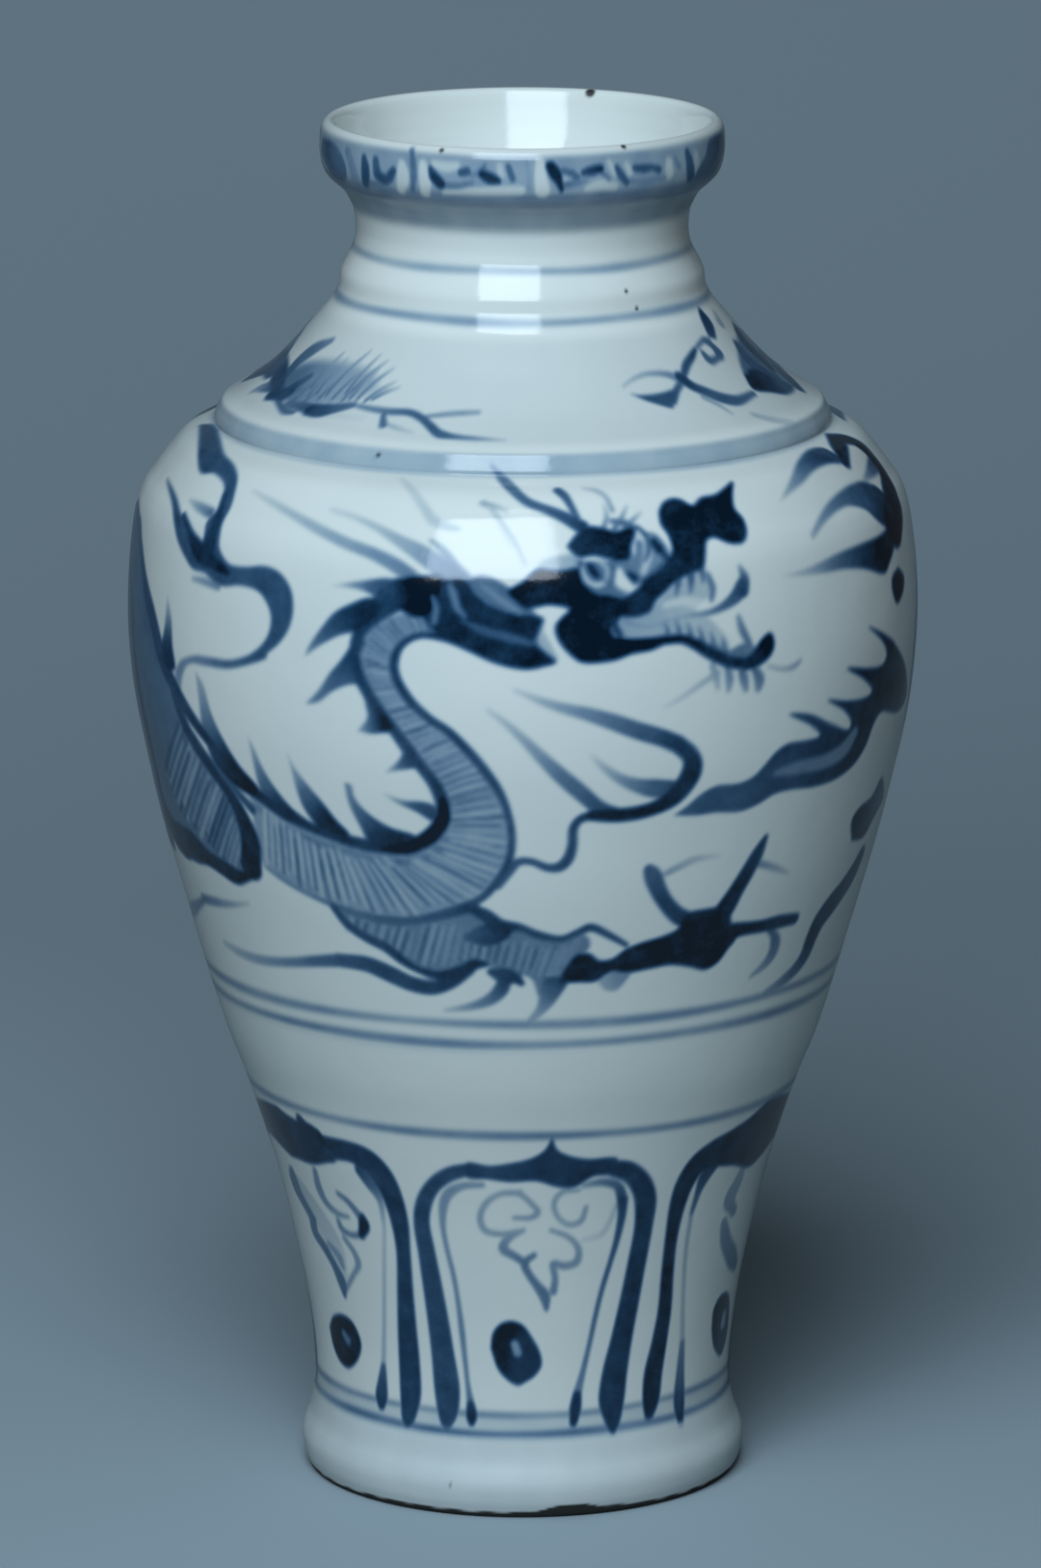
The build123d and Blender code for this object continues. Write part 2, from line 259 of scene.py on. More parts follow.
EDGE = 0.42  # mm over which a brush mark fades at its edge
PIXEL = 1 / 4.87  # mm on the vase for a pixel of the photograph, at its front
MOST_STRETCH = 3.0  # times a stroke's width, where the vase turns away
NEAR_SIDE, FAR_SIDE, LOOK_STEP = 100, 120, 0.5  # mm of a look ray before and past the axis, and its step
LINE_STEP = 4.0  # pixels between the points of a stroke
LEVEL_STEP = 1.0  # the same for one given by levels, in degrees and mm
BACK_OVERLAP = 0.2  # radians past the back of the lattice, where a stroke may still show
TONE_REACH = 0.8  # share of a patch over which its tone changes
WASH_UNEVENNESS = 0.08  # share of a wash's tone
LINE_UNEVENNESS, LINE_SWELL = 0.14, 0.15  # shares of a ring line's tone and of its width
LINE_WANDER = 0.25  # mm
SPECK_EDGE = (-0.4, 0.3)  # mm over which a speck fades


def look_rays(px, py):
    """Directions from the camera through pixels of the photograph."""
    across = (px - AXIS_X) / FOCAL_PIXELS
    up = (PHOTO_HEIGHT / 2 - py) / FOCAL_PIXELS
    cp, sp = np.cos(CAMERA_PITCH), np.sin(CAMERA_PITCH)
    return np.array([across, cp + up * sp, -sp + up * cp])


def on_lattice(line):
    """Angles and arc lengths of the outside under pixels. Those just off the outline are moved in to it."""
    px, py = np.array(line, float).T
    reach = np.arange(CAMERA_DISTANCE - NEAR_SIDE, CAMERA_DISTANCE + FAR_SIDE, LOOK_STEP)
    eye = np.array([0, -CAMERA_DISTANCE, CAMERA_HEIGHT])[:, None, None]
    while True:
        path = eye + look_rays(px, py)[:, :, None] * reach
        gap = np.hypot(path[0], path[1]) - np.interp(path[2], wall[:, 1], wall[:, 0])
        inside = (gap < 0) & (path[2] < wall[-1, 1])
        missed = ~inside.any(axis=1)
        if not missed.any():
            break
        px = px + missed * np.sign(AXIS_X - px)
    each = np.arange(len(px))
    k = inside.argmax(axis=1)
    before, after = gap[each, k - 1], gap[each, k]
    start, end = path[:, each, k - 1], path[:, each, k]
    x, y, z = start + before / (before - after) * (end - start)
    return np.arctan2(x, -y), s_at(z)


def by_levels(line):
    """Angles and arc lengths of places given by degrees round the vase and height."""
    degrees, heights = np.array(line, float).T
    return np.radians(degrees), s_at(heights)


def smooth_step(low, high, value):
    """0 below low, 1 above high, and a smooth rise between them."""
    t = np.clip((value - low) / (high - low), 0, 1)
    return t * t * (3 - 2 * t)


def window(angles, arcs, margin):
    """Row and column ranges of the lattice around some places."""
    r0, r1 = np.searchsorted(rows, [min(arcs) - margin, max(arcs) + margin])
    r1 = max(r1, r0 + 1)
    spread = margin / row_radius[r0:r1].min()
    c0, c1 = np.searchsorted(columns, [min(angles) - spread, max(angles) + spread])
    return slice(r0, r1), slice(c0, c1)


def lay(region, mask, tone, lift):
    """Cobalt laid on part of the lattice. Lifting wipes it back towards the tone instead."""
    under = cobalt[region]
    if lift:
        cobalt[region] = under + mask * np.minimum(tone - under, 0)
    else:
        cobalt[region] = np.maximum(under, mask * tone)


def around(angles):
    """The same angles a turn back and a turn on, so that a stroke can cross the back of the lattice."""
    turned = [angles + turn for turn in (-2 * np.pi, 0, 2 * np.pi)]
    return [places for places in turned if abs(places).min() < np.pi + BACK_OVERLAP]


def stroke(angles, arcs, widths, tones, lift):
    """A brush stroke through places of the lattice, with its width in mm and its tone at each."""
    region = window(angles, arcs, max(widths) + 2 * EDGE)
    if region[1].start >= region[1].stop:
        return
    radius = row_radius[region[0], None]
    mask = np.zeros(cobalt[region].shape)
    tone = np.zeros(mask.shape)
    for k in range(len(angles) - 1):
        part = window(angles[k : k + 2], arcs[k : k + 2], max(widths[k : k + 2]) / 2 + 2 * EDGE)
        near = tuple(
            slice(max(p.start - r.start, 0), max(p.stop - r.start, 0)) for p, r in zip(part, region)
        )
        x = radius[near[0]] * (columns[None, region[1]][:, near[1]] - angles[k])
        y = (rows[region[0]][near[0]] - arcs[k])[:, None]
        bx = radius[near[0]] * (angles[k + 1] - angles[k])
        by = arcs[k + 1] - arcs[k]
        t = np.clip((x * bx + y * by) / (bx * bx + by * by + TINY), 0, 1)
        half = (widths[k] + (widths[k + 1] - widths[k]) * t) / 2
        cover = smooth_step(-EDGE, EDGE, half - np.hypot(x - t * bx, y - t * by))
        better = cover > mask[near]
        mask[near] = np.where(better, cover, mask[near])
        tone[near] = np.where(better, tones[k] + (tones[k + 1] - tones[k]) * t, tone[near])
    lay(region, mask, tone, lift)


def blot(angles, arcs, first_tone, last_tone, soft):
    """A filled patch, its tone going from its first corner to its far side."""
    region = window(angles, arcs, 2 * soft)
    if region[1].start >= region[1].stop:
        return
    radius = row_radius[region[0], None]
    x = radius * (columns[None, region[1]] - angles[0])
    y = (rows[region[0]] - arcs[0])[:, None] + 0 * x
    nearest, within = np.full(x.shape, np.inf), np.zeros(x.shape, bool)
    for a0, s0, a1, s1 in zip(angles, arcs, np.roll(angles, -1), np.roll(arcs, -1)):
        ax, ay = radius * (a0 - angles[0]), s0 - arcs[0]
        bx, by = radius * (a1 - angles[0]), s1 - arcs[0]
        dx, dy = bx - ax, by - ay
        t = np.clip(((x - ax) * dx + (y - ay) * dy) / (dx * dx + dy * dy + TINY), 0, 1)
        nearest = np.minimum(nearest, np.hypot(x - ax - t * dx, y - ay - t * dy))
        within ^= ((ay > y) != (by > y)) & (x < ax + dx * (y - ay) / (dy + TINY))
    middle_radius = radius.mean()
    far = np.argmax(np.hypot(middle_radius * (angles - angles[0]), arcs - arcs[0]))
    fx, fy = middle_radius * (angles[far] - angles[0]), arcs[far] - arcs[0]
    share = np.clip((x * fx + y * fy) / (fx * fx + fy * fy), 0, 1)
    mask = smooth_step(-soft, soft, np.where(within, nearest, -nearest))
    lay(region, mask, first_tone + (last_tone - first_tone) * smooth_step(0, TONE_REACH, share), False)


def true_widths(line, arcs):
    """Widths in mm on the vase of a stroke given by (x, y, width) in pixels."""
    along = np.gradient(line[:, :2], axis=0)
    across = np.column_stack([-along[:, 1], along[:, 0]]) / np.hypot(*along.T)[:, None]
    left = on_lattice(line[:, :2] + across * line[:, 2:] / 2)
    right = on_lattice(line[:, :2] - across * line[:, 2:] / 2)
    radius = np.interp(arcs, rows, row_radius)
    widths = np.hypot(radius * (left[0] - right[0]), left[1] - right[1])
    return np.clip(widths, PIXEL * line[:, 2], MOST_STRETCH * PIXEL * line[:, 2])


def paint_strokes(strokes, turns, lift=False, levels=False):
    """Strokes given in pixels of the photograph, or by levels, painted at some turns round the vase."""
    for first_tone, last_tone, points in strokes:
        line = smooth_run(points, LEVEL_STEP if levels else LINE_STEP)
        angles, arcs = by_levels(line[:, :2]) if levels else on_lattice(line[:, :2])
        widths = line[:, 2] if levels else true_widths(line, arcs)
        tones = np.linspace(first_tone, last_tone, len(line))
        for turn in turns:
            for places in around(angles + turn):
                stroke(places, arcs, widths, tones, lift)


def paint_patches(patches, turns, soft=EDGE, levels=False):
    """Patches given by corners in pixels of the photograph, or by levels, at some turns round the vase."""
    for first_tone, last_tone, corners in patches:
        line = smooth_run(corners + corners[:1], LEVEL_STEP if levels else LINE_STEP)[:-1]
        angles, arcs = by_levels(line) if levels else on_lattice(line)
        for turn in turns:
            for places in around(angles + turn):
                blot(places, arcs, first_tone, last_tone, soft)


def rows_between(low, high, soft):
    """How far each row lies in the band between two heights, from 0 to 1."""
    inside = np.minimum(rows - s_at(low), s_at(high) - rows)[:, None]
    return smooth_step(-soft, soft, inside)


def wash_and_shade_between(low, high, tone, seed, soft):
    """A thin wash round the vase between two heights, uneven as a loaded brush leaves it. Some stand for
    painted shade.
    """
    drift = np.sin(columns * 9 + seed) * np.sin(columns * 23 + 2 * seed)
    pooled = 1 - WASH_UNEVENNESS + WASH_UNEVENNESS * drift
    np.maximum(cobalt, tone * pooled * rows_between(low, high, soft), out=cobalt)


def painted_shade_between(low, high, amount, soft):
    """Painted shade: a dark grey laid into the glaze round the vase between two heights."""
    np.maximum(iron_and_shade, amount * rows_between(low, high, soft), out=iron_and_shade)


def ring_line(height, width, tone, tilt, soft):
    """A line painted round the vase on the wheel, a little uneven in height and weight. One, under the
    collar, is painted shade.
    """
    level = height + tilt * np.sin(columns)
    level += LINE_WANDER * np.sin(columns * 2 + height) * np.cos(columns * 3)
    load = np.sin(columns * 4 + height) * np.sin(columns * 7 + 1)
    weight = tone * (1 - LINE_UNEVENNESS + LINE_UNEVENNESS * load)
    half = width / 2 * (1 + LINE_SWELL * np.sin(columns * 5 + 2 * height))
    reach = np.abs(rows[:, None] - s_at(level)[None, :])
    density = weight * smooth_step(-soft, soft, half - reach)
    np.maximum(cobalt, density, out=cobalt)


def soak():
    """Lets the cobalt spread a little into the glaze."""
    for axis in (0, 1):
        cobalt[:] = (np.roll(cobalt, 1, axis) + 2 * cobalt + np.roll(cobalt, -1, axis)) / 4


def dot(angle, arc, size):
    """A dot of iron in the glaze, of that size in mm."""
    region = window([angle], [arc], size)
    across = row_radius[region[0], None] * (columns[None, region[1]] - angle)
    distance = np.hypot(across, (rows[region[0]] - arc)[:, None])
    iron_and_shade[region] = np.maximum(iron_and_shade[region], smooth_step(*SPECK_EDGE, size / 2 - distance))


# ---- The painter's work ----
# Places are pixels of the photograph, chosen along its brush strokes.
# A stroke is (tone where it starts, tone where it ends, ((x, y, width), ...)).
# A patch is (tone at its first corner, tone at its far side, ((x, y), ...)).

# Dragon: washes inside its coils, then scales drawn across them
COIL_WASHES = (
    (0.50, 0.42, ((470, 600), (440, 628), (405, 640), (384, 652), (372, 672), (373, 697), (384, 724),
        (402, 747), (420, 768), (436, 790), (450, 808), (458, 830), (460, 850), (444, 872), (420, 882),
        (390, 880), (355, 872), (320, 860), (290, 846), (262, 826), (266, 870), (275, 898), (312, 924),
        (350, 942), (395, 955), (440, 953), (480, 943), (508, 924), (526, 898), (533, 866), (526, 838),
        (514, 812), (498, 792), (478, 768), (455, 748), (428, 726), (410, 700), (408, 680), (424, 662),
        (450, 660), (478, 668), (510, 682), (545, 690), (576, 684), (562, 652), (556, 636), (530, 614),
        (500, 600))),
    (0.66, 0.60, ((131, 545), (145, 533), (148, 583), (157, 640), (170, 693), (185, 733), (200, 767),
        (220, 797), (240, 823), (253, 850), (267, 883), (267, 910), (240, 906), (210, 890), (186, 878),
        (165, 850), (150, 800), (139, 745), (133, 690), (130, 640), (130, 590))),
    (0.55, 0.55, ((346, 938), (395, 952), (440, 950), (486, 940), (508, 948), (524, 962), (548, 968),
        (575, 976), (604, 968), (612, 982), (590, 1002), (578, 1020), (560, 1034), (552, 1016),
        (530, 1008), (500, 1002), (462, 1010), (432, 1004), (405, 986), (376, 970), (356, 958))),
)
# The darker side of its coil, along the spines
COIL_SHADE = (
    (0.60, 0.54, ((384, 652), (373, 672), (373, 697), (384, 724), (402, 747), (420, 768), (436, 790),
        (450, 808), (458, 830), (460, 850), (444, 872), (420, 882), (390, 880), (355, 872), (320, 860),
        (290, 846), (262, 826), (264, 844), (290, 864), (320, 880), (360, 894), (405, 903), (440, 904),
        (472, 890), (494, 866), (494, 835), (480, 805), (460, 782), (440, 762), (420, 742), (400, 718),
        (392, 697), (394, 676), (404, 660))),
)
# Pairs of places down a coil, on its spined side and on its belly, that the scales run between
COIL_RUNGS = (
    ((455, 640), (470, 664)), ((430, 634), (440, 660)), ((404, 642), (422, 664)),
    ((385, 654), (410, 678)), ((376, 674), (406, 690)), ((379, 698), (410, 701)),
    ((388, 722), (418, 717)), ((404, 746), (436, 738)), ((420, 768), (458, 754)),
    ((435, 789), (477, 770)), ((449, 808), (496, 790)), ((460, 829), (513, 814)),
    ((465, 849), (526, 842)), ((460, 866), (532, 878)), ((446, 880), (521, 908)),
    ((425, 888), (502, 930)), ((405, 890), (472, 944)), ((385, 888), (434, 953)),
    ((362, 882), (396, 951)), ((340, 874), (358, 942)), ((315, 864), (325, 928)),
    ((292, 851), (298, 913)), ((274, 838), (277, 899)),
)
FAR_COIL_RUNGS = (
    ((186, 748), (170, 800)), ((204, 778), (184, 840)), ((224, 806), (204, 866)),
    ((240, 834), (222, 888)), ((254, 862), (242, 904)),
)
LOWER_COIL_RUNGS = (
    ((360, 950), (360, 964)), ((395, 958), (390, 976)), ((430, 960), (418, 998)),
    ((462, 956), (448, 1006)), ((490, 964), (484, 1000)), ((520, 974), (512, 1004)),
    ((550, 978), (540, 1012)), ((580, 980), (564, 1020)), ((602, 974), (582, 1008)),
)
# The turn of its far coil, which the photograph doesn't show, is given by levels: degrees round the vase,
# height in mm and, for a stroke, width in mm
FAR_TURN_WIPES = (
    (0.60, 0.60, ((-87.0, 217.0, 2.0), (-88.5, 200.0, 7.0), (-87.0, 180.0, 7.0), (-85.5, 160.0, 7.0),
        (-86.0, 151.0, 4.0))),
)
FAR_TURN_WASH = (
    (0.54, 0.62, ((-84.0, 217.5), (-90.0, 212.5), (-94.4, 204.0), (-97.0, 193.0), (-98.0, 181.0),
        (-97.2, 169.0), (-94.6, 158.0), (-90.4, 149.5), (-84.0, 145.5), (-80.0, 152.0), (-79.0, 180.0),
        (-80.0, 210.0))),
)
FAR_TURN_RUNGS = (
    (0.92, 0.58, ((-91.8, 208.0, 0.9), (-87.0, 201.0, 0.8), (-83.8, 197.0, 0.5))),
    (0.92, 0.58, ((-94.4, 202.5, 0.9), (-89.0, 196.5, 0.9), (-84.6, 193.0, 0.5))),
    (0.94, 0.58, ((-96.2, 196.0, 0.9), (-90.5, 191.0, 0.9), (-85.0, 188.5, 0.5))),
    (0.94, 0.58, ((-97.2, 189.0, 0.9), (-91.5, 186.0, 0.9), (-85.4, 184.0, 0.5))),
    (0.94, 0.58, ((-97.8, 182.0, 0.9), (-91.8, 180.5, 0.9), (-85.4, 179.5, 0.5))),
    (0.94, 0.58, ((-97.5, 175.0, 0.9), (-91.5, 175.0, 0.9), (-85.2, 175.5, 0.5))),
    (0.94, 0.58, ((-96.6, 168.0, 0.9), (-90.8, 169.5, 0.9), (-84.8, 171.0, 0.5))),
    (0.92, 0.58, ((-95.0, 161.5, 0.9), (-89.6, 164.5, 0.9), (-84.2, 167.0, 0.5))),
    (0.92, 0.58, ((-92.4, 155.5, 0.9), (-88.0, 159.5, 0.9), (-83.4, 163.0, 0.5))),
)
FAR_TURN_EDGE = (
    (0.80, 0.95, ((-84.5, 217.2, 1.0), (-87.5, 215.4, 1.2), (-90.4, 212.3, 1.6), (-94.8, 204.0, 2.0),
        (-97.4, 193.0, 2.3), (-98.4, 181.0, 2.5), (-97.6, 169.0, 2.8), (-95.0, 158.0, 3.2),
        (-90.6, 149.0, 3.6), (-84.0, 144.6, 3.6), (-77.0, 143.4, 3.0))),
)
COIL_LINES = (
    # belly line, from the neck round the big bend
    (0.95, 0.80, ((572, 684, 12), (545, 688, 14), (515, 682, 13), (488, 671, 11), (462, 662, 8),
        (436, 659, 7), (418, 667, 8), (409, 682, 10), (410, 702, 10), (424, 726, 10), (444, 745, 9),
        (466, 760, 9), (486, 780, 10), (503, 800, 10), (518, 822, 9), (527, 845, 8), (531, 870, 8),
        (527, 895, 9), (515, 915, 9), (500, 931, 8), (478, 942, 9))),
    (0.85, 0.45, ((490, 940, 14), (462, 948, 12), (435, 954, 10), (405, 955, 10), (375, 949, 9),
        (345, 938, 6), (318, 926, 5), (294, 912, 5), (276, 899, 4))),
    # spined side, from the arch down, darkest in its tightest bend
    (1.10, 1.00, ((459, 830, 8), (460, 848, 15), (450, 864, 17), (436, 874, 16), (420, 880, 14),
        (396, 880, 8))),
    (0.86, 0.92, ((452, 606, 22), (432, 614, 26), (410, 624, 22), (388, 638, 20), (373, 656, 14),
        (368, 676, 12), (371, 698, 13), (381, 718, 12), (393, 738, 14), (408, 756, 12), (424, 778, 13),
        (437, 795, 12), (450, 812, 13), (459, 832, 15), (459, 850, 16), (446, 868, 17), (425, 878, 17),
        (396, 879, 14), (368, 874, 12), (344, 866, 11), (322, 858, 10), (296, 845, 11), (272, 828, 10),
        (256, 815, 12), (240, 799, 14))),
    # line between the two coils on the left
    (0.70, 0.92, ((142, 524, 4), (145, 560, 5), (149, 600, 6), (157, 640, 8), (168, 684, 9),
        (184, 720, 9), (204, 752, 8), (224, 778, 8), (240, 798, 10))),
    (0.84, 1.00, ((180, 722, 6), (194, 757, 8), (214, 790, 9), (234, 818, 9), (248, 842, 12),
        (259, 872, 18), (260, 898, 20))),
    (0.74, 0.92, ((135, 560, 4), (136, 620, 6), (139, 680, 8), (147, 733, 9), (157, 783, 9),
        (168, 830, 9), (180, 862, 12))),
    (0.60, 0.85, ((200, 762, 4), (214, 784, 5), (230, 802, 6), (246, 822, 6), (262, 840, 7))),
    # bottom of the left coil
    (0.90, 1.00, ((172, 850, 8), (184, 868, 13), (198, 876, 15), (214, 888, 10), (230, 899, 11),
        (247, 909, 13), (261, 906, 13))),
    # lower coil
    (0.80, 0.95, ((346, 940, 7), (360, 958, 8), (380, 972, 9), (400, 982, 10), (418, 996, 9),
        (436, 1006, 8), (458, 1012, 12), (478, 1008, 15), (492, 1000, 12), (505, 1000, 5))),
    (0.85, 0.85, ((486, 942, 10), (504, 950, 14), (518, 962, 18), (538, 962, 9), (558, 970, 9),
        (582, 974, 7), (600, 967, 7), (614, 962, 8), (632, 970, 7), (650, 980, 5))),
    (0.75, 0.90, ((486, 972, 10), (505, 970, 24), (520, 966, 20))),
    (0.85, 0.90, ((510, 1008, 8), (524, 1012, 17), (534, 1014, 12), (541, 1020, 6))),
)
# Neck, between the arch and the head
NECK_PATCHES = (
    (0.62, 0.70, ((484, 600), (500, 597), (516, 602), (534, 614), (552, 632), (560, 646), (530, 640),
        (508, 628), (490, 616))),
    (0.94, 0.96, ((436, 640), (440, 622), (452, 604), (470, 600), (484, 602), (494, 616), (510, 628),
        (532, 636), (562, 640), (563, 652), (556, 666), (566, 676), (576, 686), (548, 692), (518, 687),
        (492, 677), (468, 665), (450, 656))),
    (0.84, 1.12, ((392, 612), (404, 602), (424, 598), (448, 598), (457, 606), (453, 624), (444, 637),
        (428, 641), (416, 634), (400, 631), (388, 641), (378, 642), (384, 624))),
)
NECK_LIGHTS = (
    (0.54, 0.48, ((499, 606, 4), (512, 617, 8), (528, 628, 9), (540, 635, 4))),
    (0.56, 0.54, ((466, 606, 4), (470, 616, 8), (474, 630, 7), (482, 640, 3))),
    (0.60, 0.56, ((448, 618, 4), (452, 632, 7), (450, 646, 5))),
    (0.78, 0.74, ((480, 645, 4), (504, 655, 9), (530, 662, 9), (552, 668, 5))),
)

# Dragon: spines along its back
SPINES = (
    (0.55, 0.95, ((316, 680), (322, 667), (334, 650), (346, 636), (362, 627), (384, 620), (398, 630),
        (384, 646), (372, 655), (354, 658), (334, 668))),
    (0.55, 0.85, ((317, 730), (330, 716), (342, 698), (354, 684), (364, 668), (370, 652), (379, 664),
        (371, 688), (377, 708), (362, 710), (346, 716), (330, 728))),
    (0.45, 1.00, ((371, 758), (381, 744), (379, 727), (396, 736), (410, 757), (396, 760), (384, 761))),
    (0.40, 0.90, ((400, 801), (414, 788), (424, 772), (440, 794), (426, 797))),
    (0.30, 0.85, ((398, 823), (418, 830), (440, 832), (452, 838), (450, 852), (432, 842), (412, 833))),
    (0.50, 0.95, ((357, 812), (364, 814), (368, 828), (382, 844), (404, 858), (432, 868), (420, 882),
        (388, 880), (374, 858), (362, 834))),
    (0.30, 0.95, ((298, 782), (306, 797), (318, 813), (334, 832), (348, 850), (362, 866), (336, 862),
        (320, 846), (309, 824))),
    (0.35, 0.95, ((257, 764), (264, 778), (272, 796), (284, 816), (302, 838), (324, 856), (300, 852),
        (280, 836), (268, 814))),
    (0.30, 1.00, ((202, 696), (211, 712), (219, 740), (232, 768), (248, 794), (268, 818), (262, 826),
        (240, 812), (222, 790), (211, 762), (206, 726))),
    (0.25, 0.90, ((173, 618), (177, 640), (178, 668), (181, 694), (170, 692), (166, 676), (170, 650))),
    (0.30, 0.80, ((345, 607), (372, 603), (402, 600), (420, 606), (400, 622), (374, 612))),
)
MANE = (
    (0.15, 0.55, ((262, 509, 3), (282, 521, 7), (304, 534, 9), (330, 549, 11), (358, 563, 12),
        (388, 575, 13), (412, 588, 15), (430, 602, 16))),
    (0.10, 0.55, ((344, 529, 6), (366, 536, 6), (390, 547, 8), (412, 560, 12), (436, 574, 18),
        (458, 590, 22), (474, 604, 18))),
    (0.12, 0.22, ((416, 496, 3), (428, 510, 8), (439, 526, 10), (449, 540, 11), (462, 546, 9),
        (476, 549, 4))),
    (0.20, 0.08, ((502, 522, 8), (510, 528, 6), (518, 540, 6), (526, 556, 5), (531, 568, 3))),
    (0.40, 0.50, ((446, 560, 3), (460, 572, 8), (472, 588, 10), (484, 600, 10))),
)

# Dragon: head
HEAD_WASHES = (
    # round the eyes, over the cheek and behind the brow
    (0.66, 0.52, ((596, 578), (606, 582), (655, 578), (661, 556), (672, 552), (684, 556), (696, 574),
        (690, 590), (664, 606), (640, 622), (612, 616), (602, 600))),
    (0.20, 0.30, ((556, 592), (562, 582), (578, 577), (596, 576), (602, 592))),
    # inside the mouth
    (0.36, 0.22, ((640, 636), (672, 632), (690, 616), (700, 600), (732, 596), (736, 618), (722, 632),
        (740, 644), (758, 668), (744, 680), (720, 668), (700, 662), (650, 664), (640, 650))),
    (0.50, 0.58, ((740, 664), (756, 674), (770, 668), (782, 668), (788, 678), (776, 691), (756, 689),
        (738, 680))),
)
HEAD_PATCHES = (
    # nose and snout
    (1.00, 0.95, ((684, 531), (688, 522), (697, 517), (707, 518), (719, 524), (728, 516), (742, 513),
        (752, 506), (761, 499), (761, 513), (763, 527), (772, 538), (776, 552), (772, 563), (758, 564),
        (742, 558), (734, 562), (733, 576), (730, 590), (714, 597), (701, 604), (691, 614), (681, 624),
        (674, 636), (656, 641), (643, 637), (640, 622), (652, 617), (662, 610), (670, 600), (684, 591),
        (693, 581), (698, 570), (694, 556), (686, 544))),
    # brow
    (0.90, 1.00, ((588, 567), (599, 553), (612, 546), (627, 548), (640, 551), (656, 546), (660, 553),
        (656, 566), (655, 579), (644, 583), (630, 580), (616, 577), (602, 579), (594, 574))),
    # cheek
    (1.00, 1.00, ((524, 613), (541, 604), (552, 594), (560, 590), (580, 592), (600, 589), (604, 602),
        (611, 611), (622, 616), (640, 618), (652, 626), (654, 640), (640, 640), (634, 650), (642, 664),
        (662, 668), (680, 664), (690, 668), (676, 675), (656, 679), (636, 686), (606, 688), (590, 678),
        (579, 664), (576, 650), (583, 640), (590, 632), (570, 628), (546, 632), (534, 624))),
)
HEAD_LINES = (
    # horns
    (0.55, 0.86, ((509, 482, 4), (518, 493, 8), (532, 508, 9), (546, 520, 9), (562, 527, 9),
        (582, 535, 11), (604, 547, 14))),
    (0.75, 0.70, ((579, 509, 7), (586, 515, 8), (593, 526, 7), (600, 540, 7))),
    (0.14, 0.40, ((606, 507, 3), (618, 509, 5), (629, 516, 5), (636, 530, 5))),
    (0.36, 0.22, ((500, 522, 5), (512, 525, 5), (526, 530, 3))),
    (0.34, 0.24, ((510, 528, 3), (522, 544, 3), (534, 562, 3), (545, 586, 2))),
    # tuft over the brow
    (0.60, 0.25, ((626, 549, 5), (630, 537, 5), (627, 524, 2))),
    (0.66, 0.30, ((638, 549, 6), (645, 538, 5), (651, 525, 2))),
    (0.66, 0.35, ((648, 551, 6), (656, 541, 5), (665, 532, 2))),
    (0.60, 0.66, ((636, 541, 6), (648, 543, 8), (658, 548, 8))),
    # folds beside the eyes
    (0.76, 0.70, ((662, 547, 4), (671, 556, 5), (674, 570, 6), (670, 582, 4))),
    (0.74, 0.80, ((664, 604, 4), (676, 596, 5), (690, 584, 6))),
    (0.80, 0.86, ((603, 582, 4), (601, 594, 4), (606, 607, 5), (618, 613, 4))),
    (0.70, 0.74, ((634, 586, 5), (637, 596, 4), (634, 608, 4))),
    # lower jaw and its knob
    (1.10, 0.92, ((640, 669, 15), (664, 668, 12), (690, 664, 10), (708, 663, 10), (722, 668, 12),
        (738, 677, 14), (756, 686, 14))),
    (0.92, 1.05, ((756, 686, 14), (776, 688, 14), (789, 680, 17), (796, 671, 17), (799, 662, 9))),
    # tongue
    (0.50, 0.34, ((648, 644, 5), (668, 650, 5), (690, 646, 4), (712, 638, 3))),
    # lip curl
    (0.34, 0.82, ((700, 641, 4), (720, 638, 5), (738, 635, 6), (753, 628, 9), (765, 618, 13),
        (771, 608, 14))),
    (0.84, 0.45, ((771, 612, 14), (773, 600, 10), (768, 587, 3))),
    # upper teeth and a whisker
    (0.80, 0.50, ((704, 590, 9), (704, 604, 8), (702, 618, 5))),
    (0.80, 0.50, ((717, 590, 9), (718, 602, 8), (717, 615, 5))),
    (0.72, 0.55, ((728, 588, 8), (731, 602, 6))),
    (0.62, 0.56, ((735, 596, 5), (740, 610, 7), (739, 622, 5))),
    (0.45, 0.60, ((767, 640, 5), (771, 653, 8), (778, 667, 7))),
    # mouth corner
    (0.95, 0.85, ((644, 634, 10), (637, 646, 9), (644, 660, 8))),
)
LOWER_TEETH = (
    (690, 643), (702, 643), (714, 646), (726, 650), (738, 656), (750, 662),
)
HEAD_LIGHTS = (
    # light round the left pupil, white of the middle eye, and light beside the right one
    (0.24, 0.18, ((603, 586, 4), (606, 598, 7), (614, 607, 8), (626, 606, 5))),
    (0.32, 0.28, ((622, 582, 5), (630, 590, 5), (630, 600, 4))),
    (0.05, 0.02, ((643, 591, 5), (645, 603, 14), (656, 611, 8))),
    (0.16, 0.20, ((656, 556, 6), (670, 560, 7), (673, 576, 9), (668, 594, 6))),
    (0.04, 0.04, ((685, 549, 4), (693, 559, 6), (698, 571, 4))),
    # cheek gap
    (0.26, 0.28, ((588, 630, 5), (577, 636, 11), (568, 648, 10), (565, 664, 12), (576, 678, 10),
        (588, 689, 7))),
    # mouth
    (0.10, 0.10, ((690, 628, 5), (710, 624, 10), (734, 629, 12))),
)
PUPILS = (
    (0.95, 0.95, ((612, 587, 8), (617, 594, 10), (621, 599, 7))),
    (0.92, 0.92, ((653, 595, 7), (659, 600, 10))),
    (0.94, 0.94, ((679, 562, 9), (684, 569, 11))),
    (0.86, 0.92, ((684, 569, 7), (692, 578, 8), (700, 584, 8))),
    (0.60, 0.56, ((662, 563, 5), (663, 588, 6))),
)
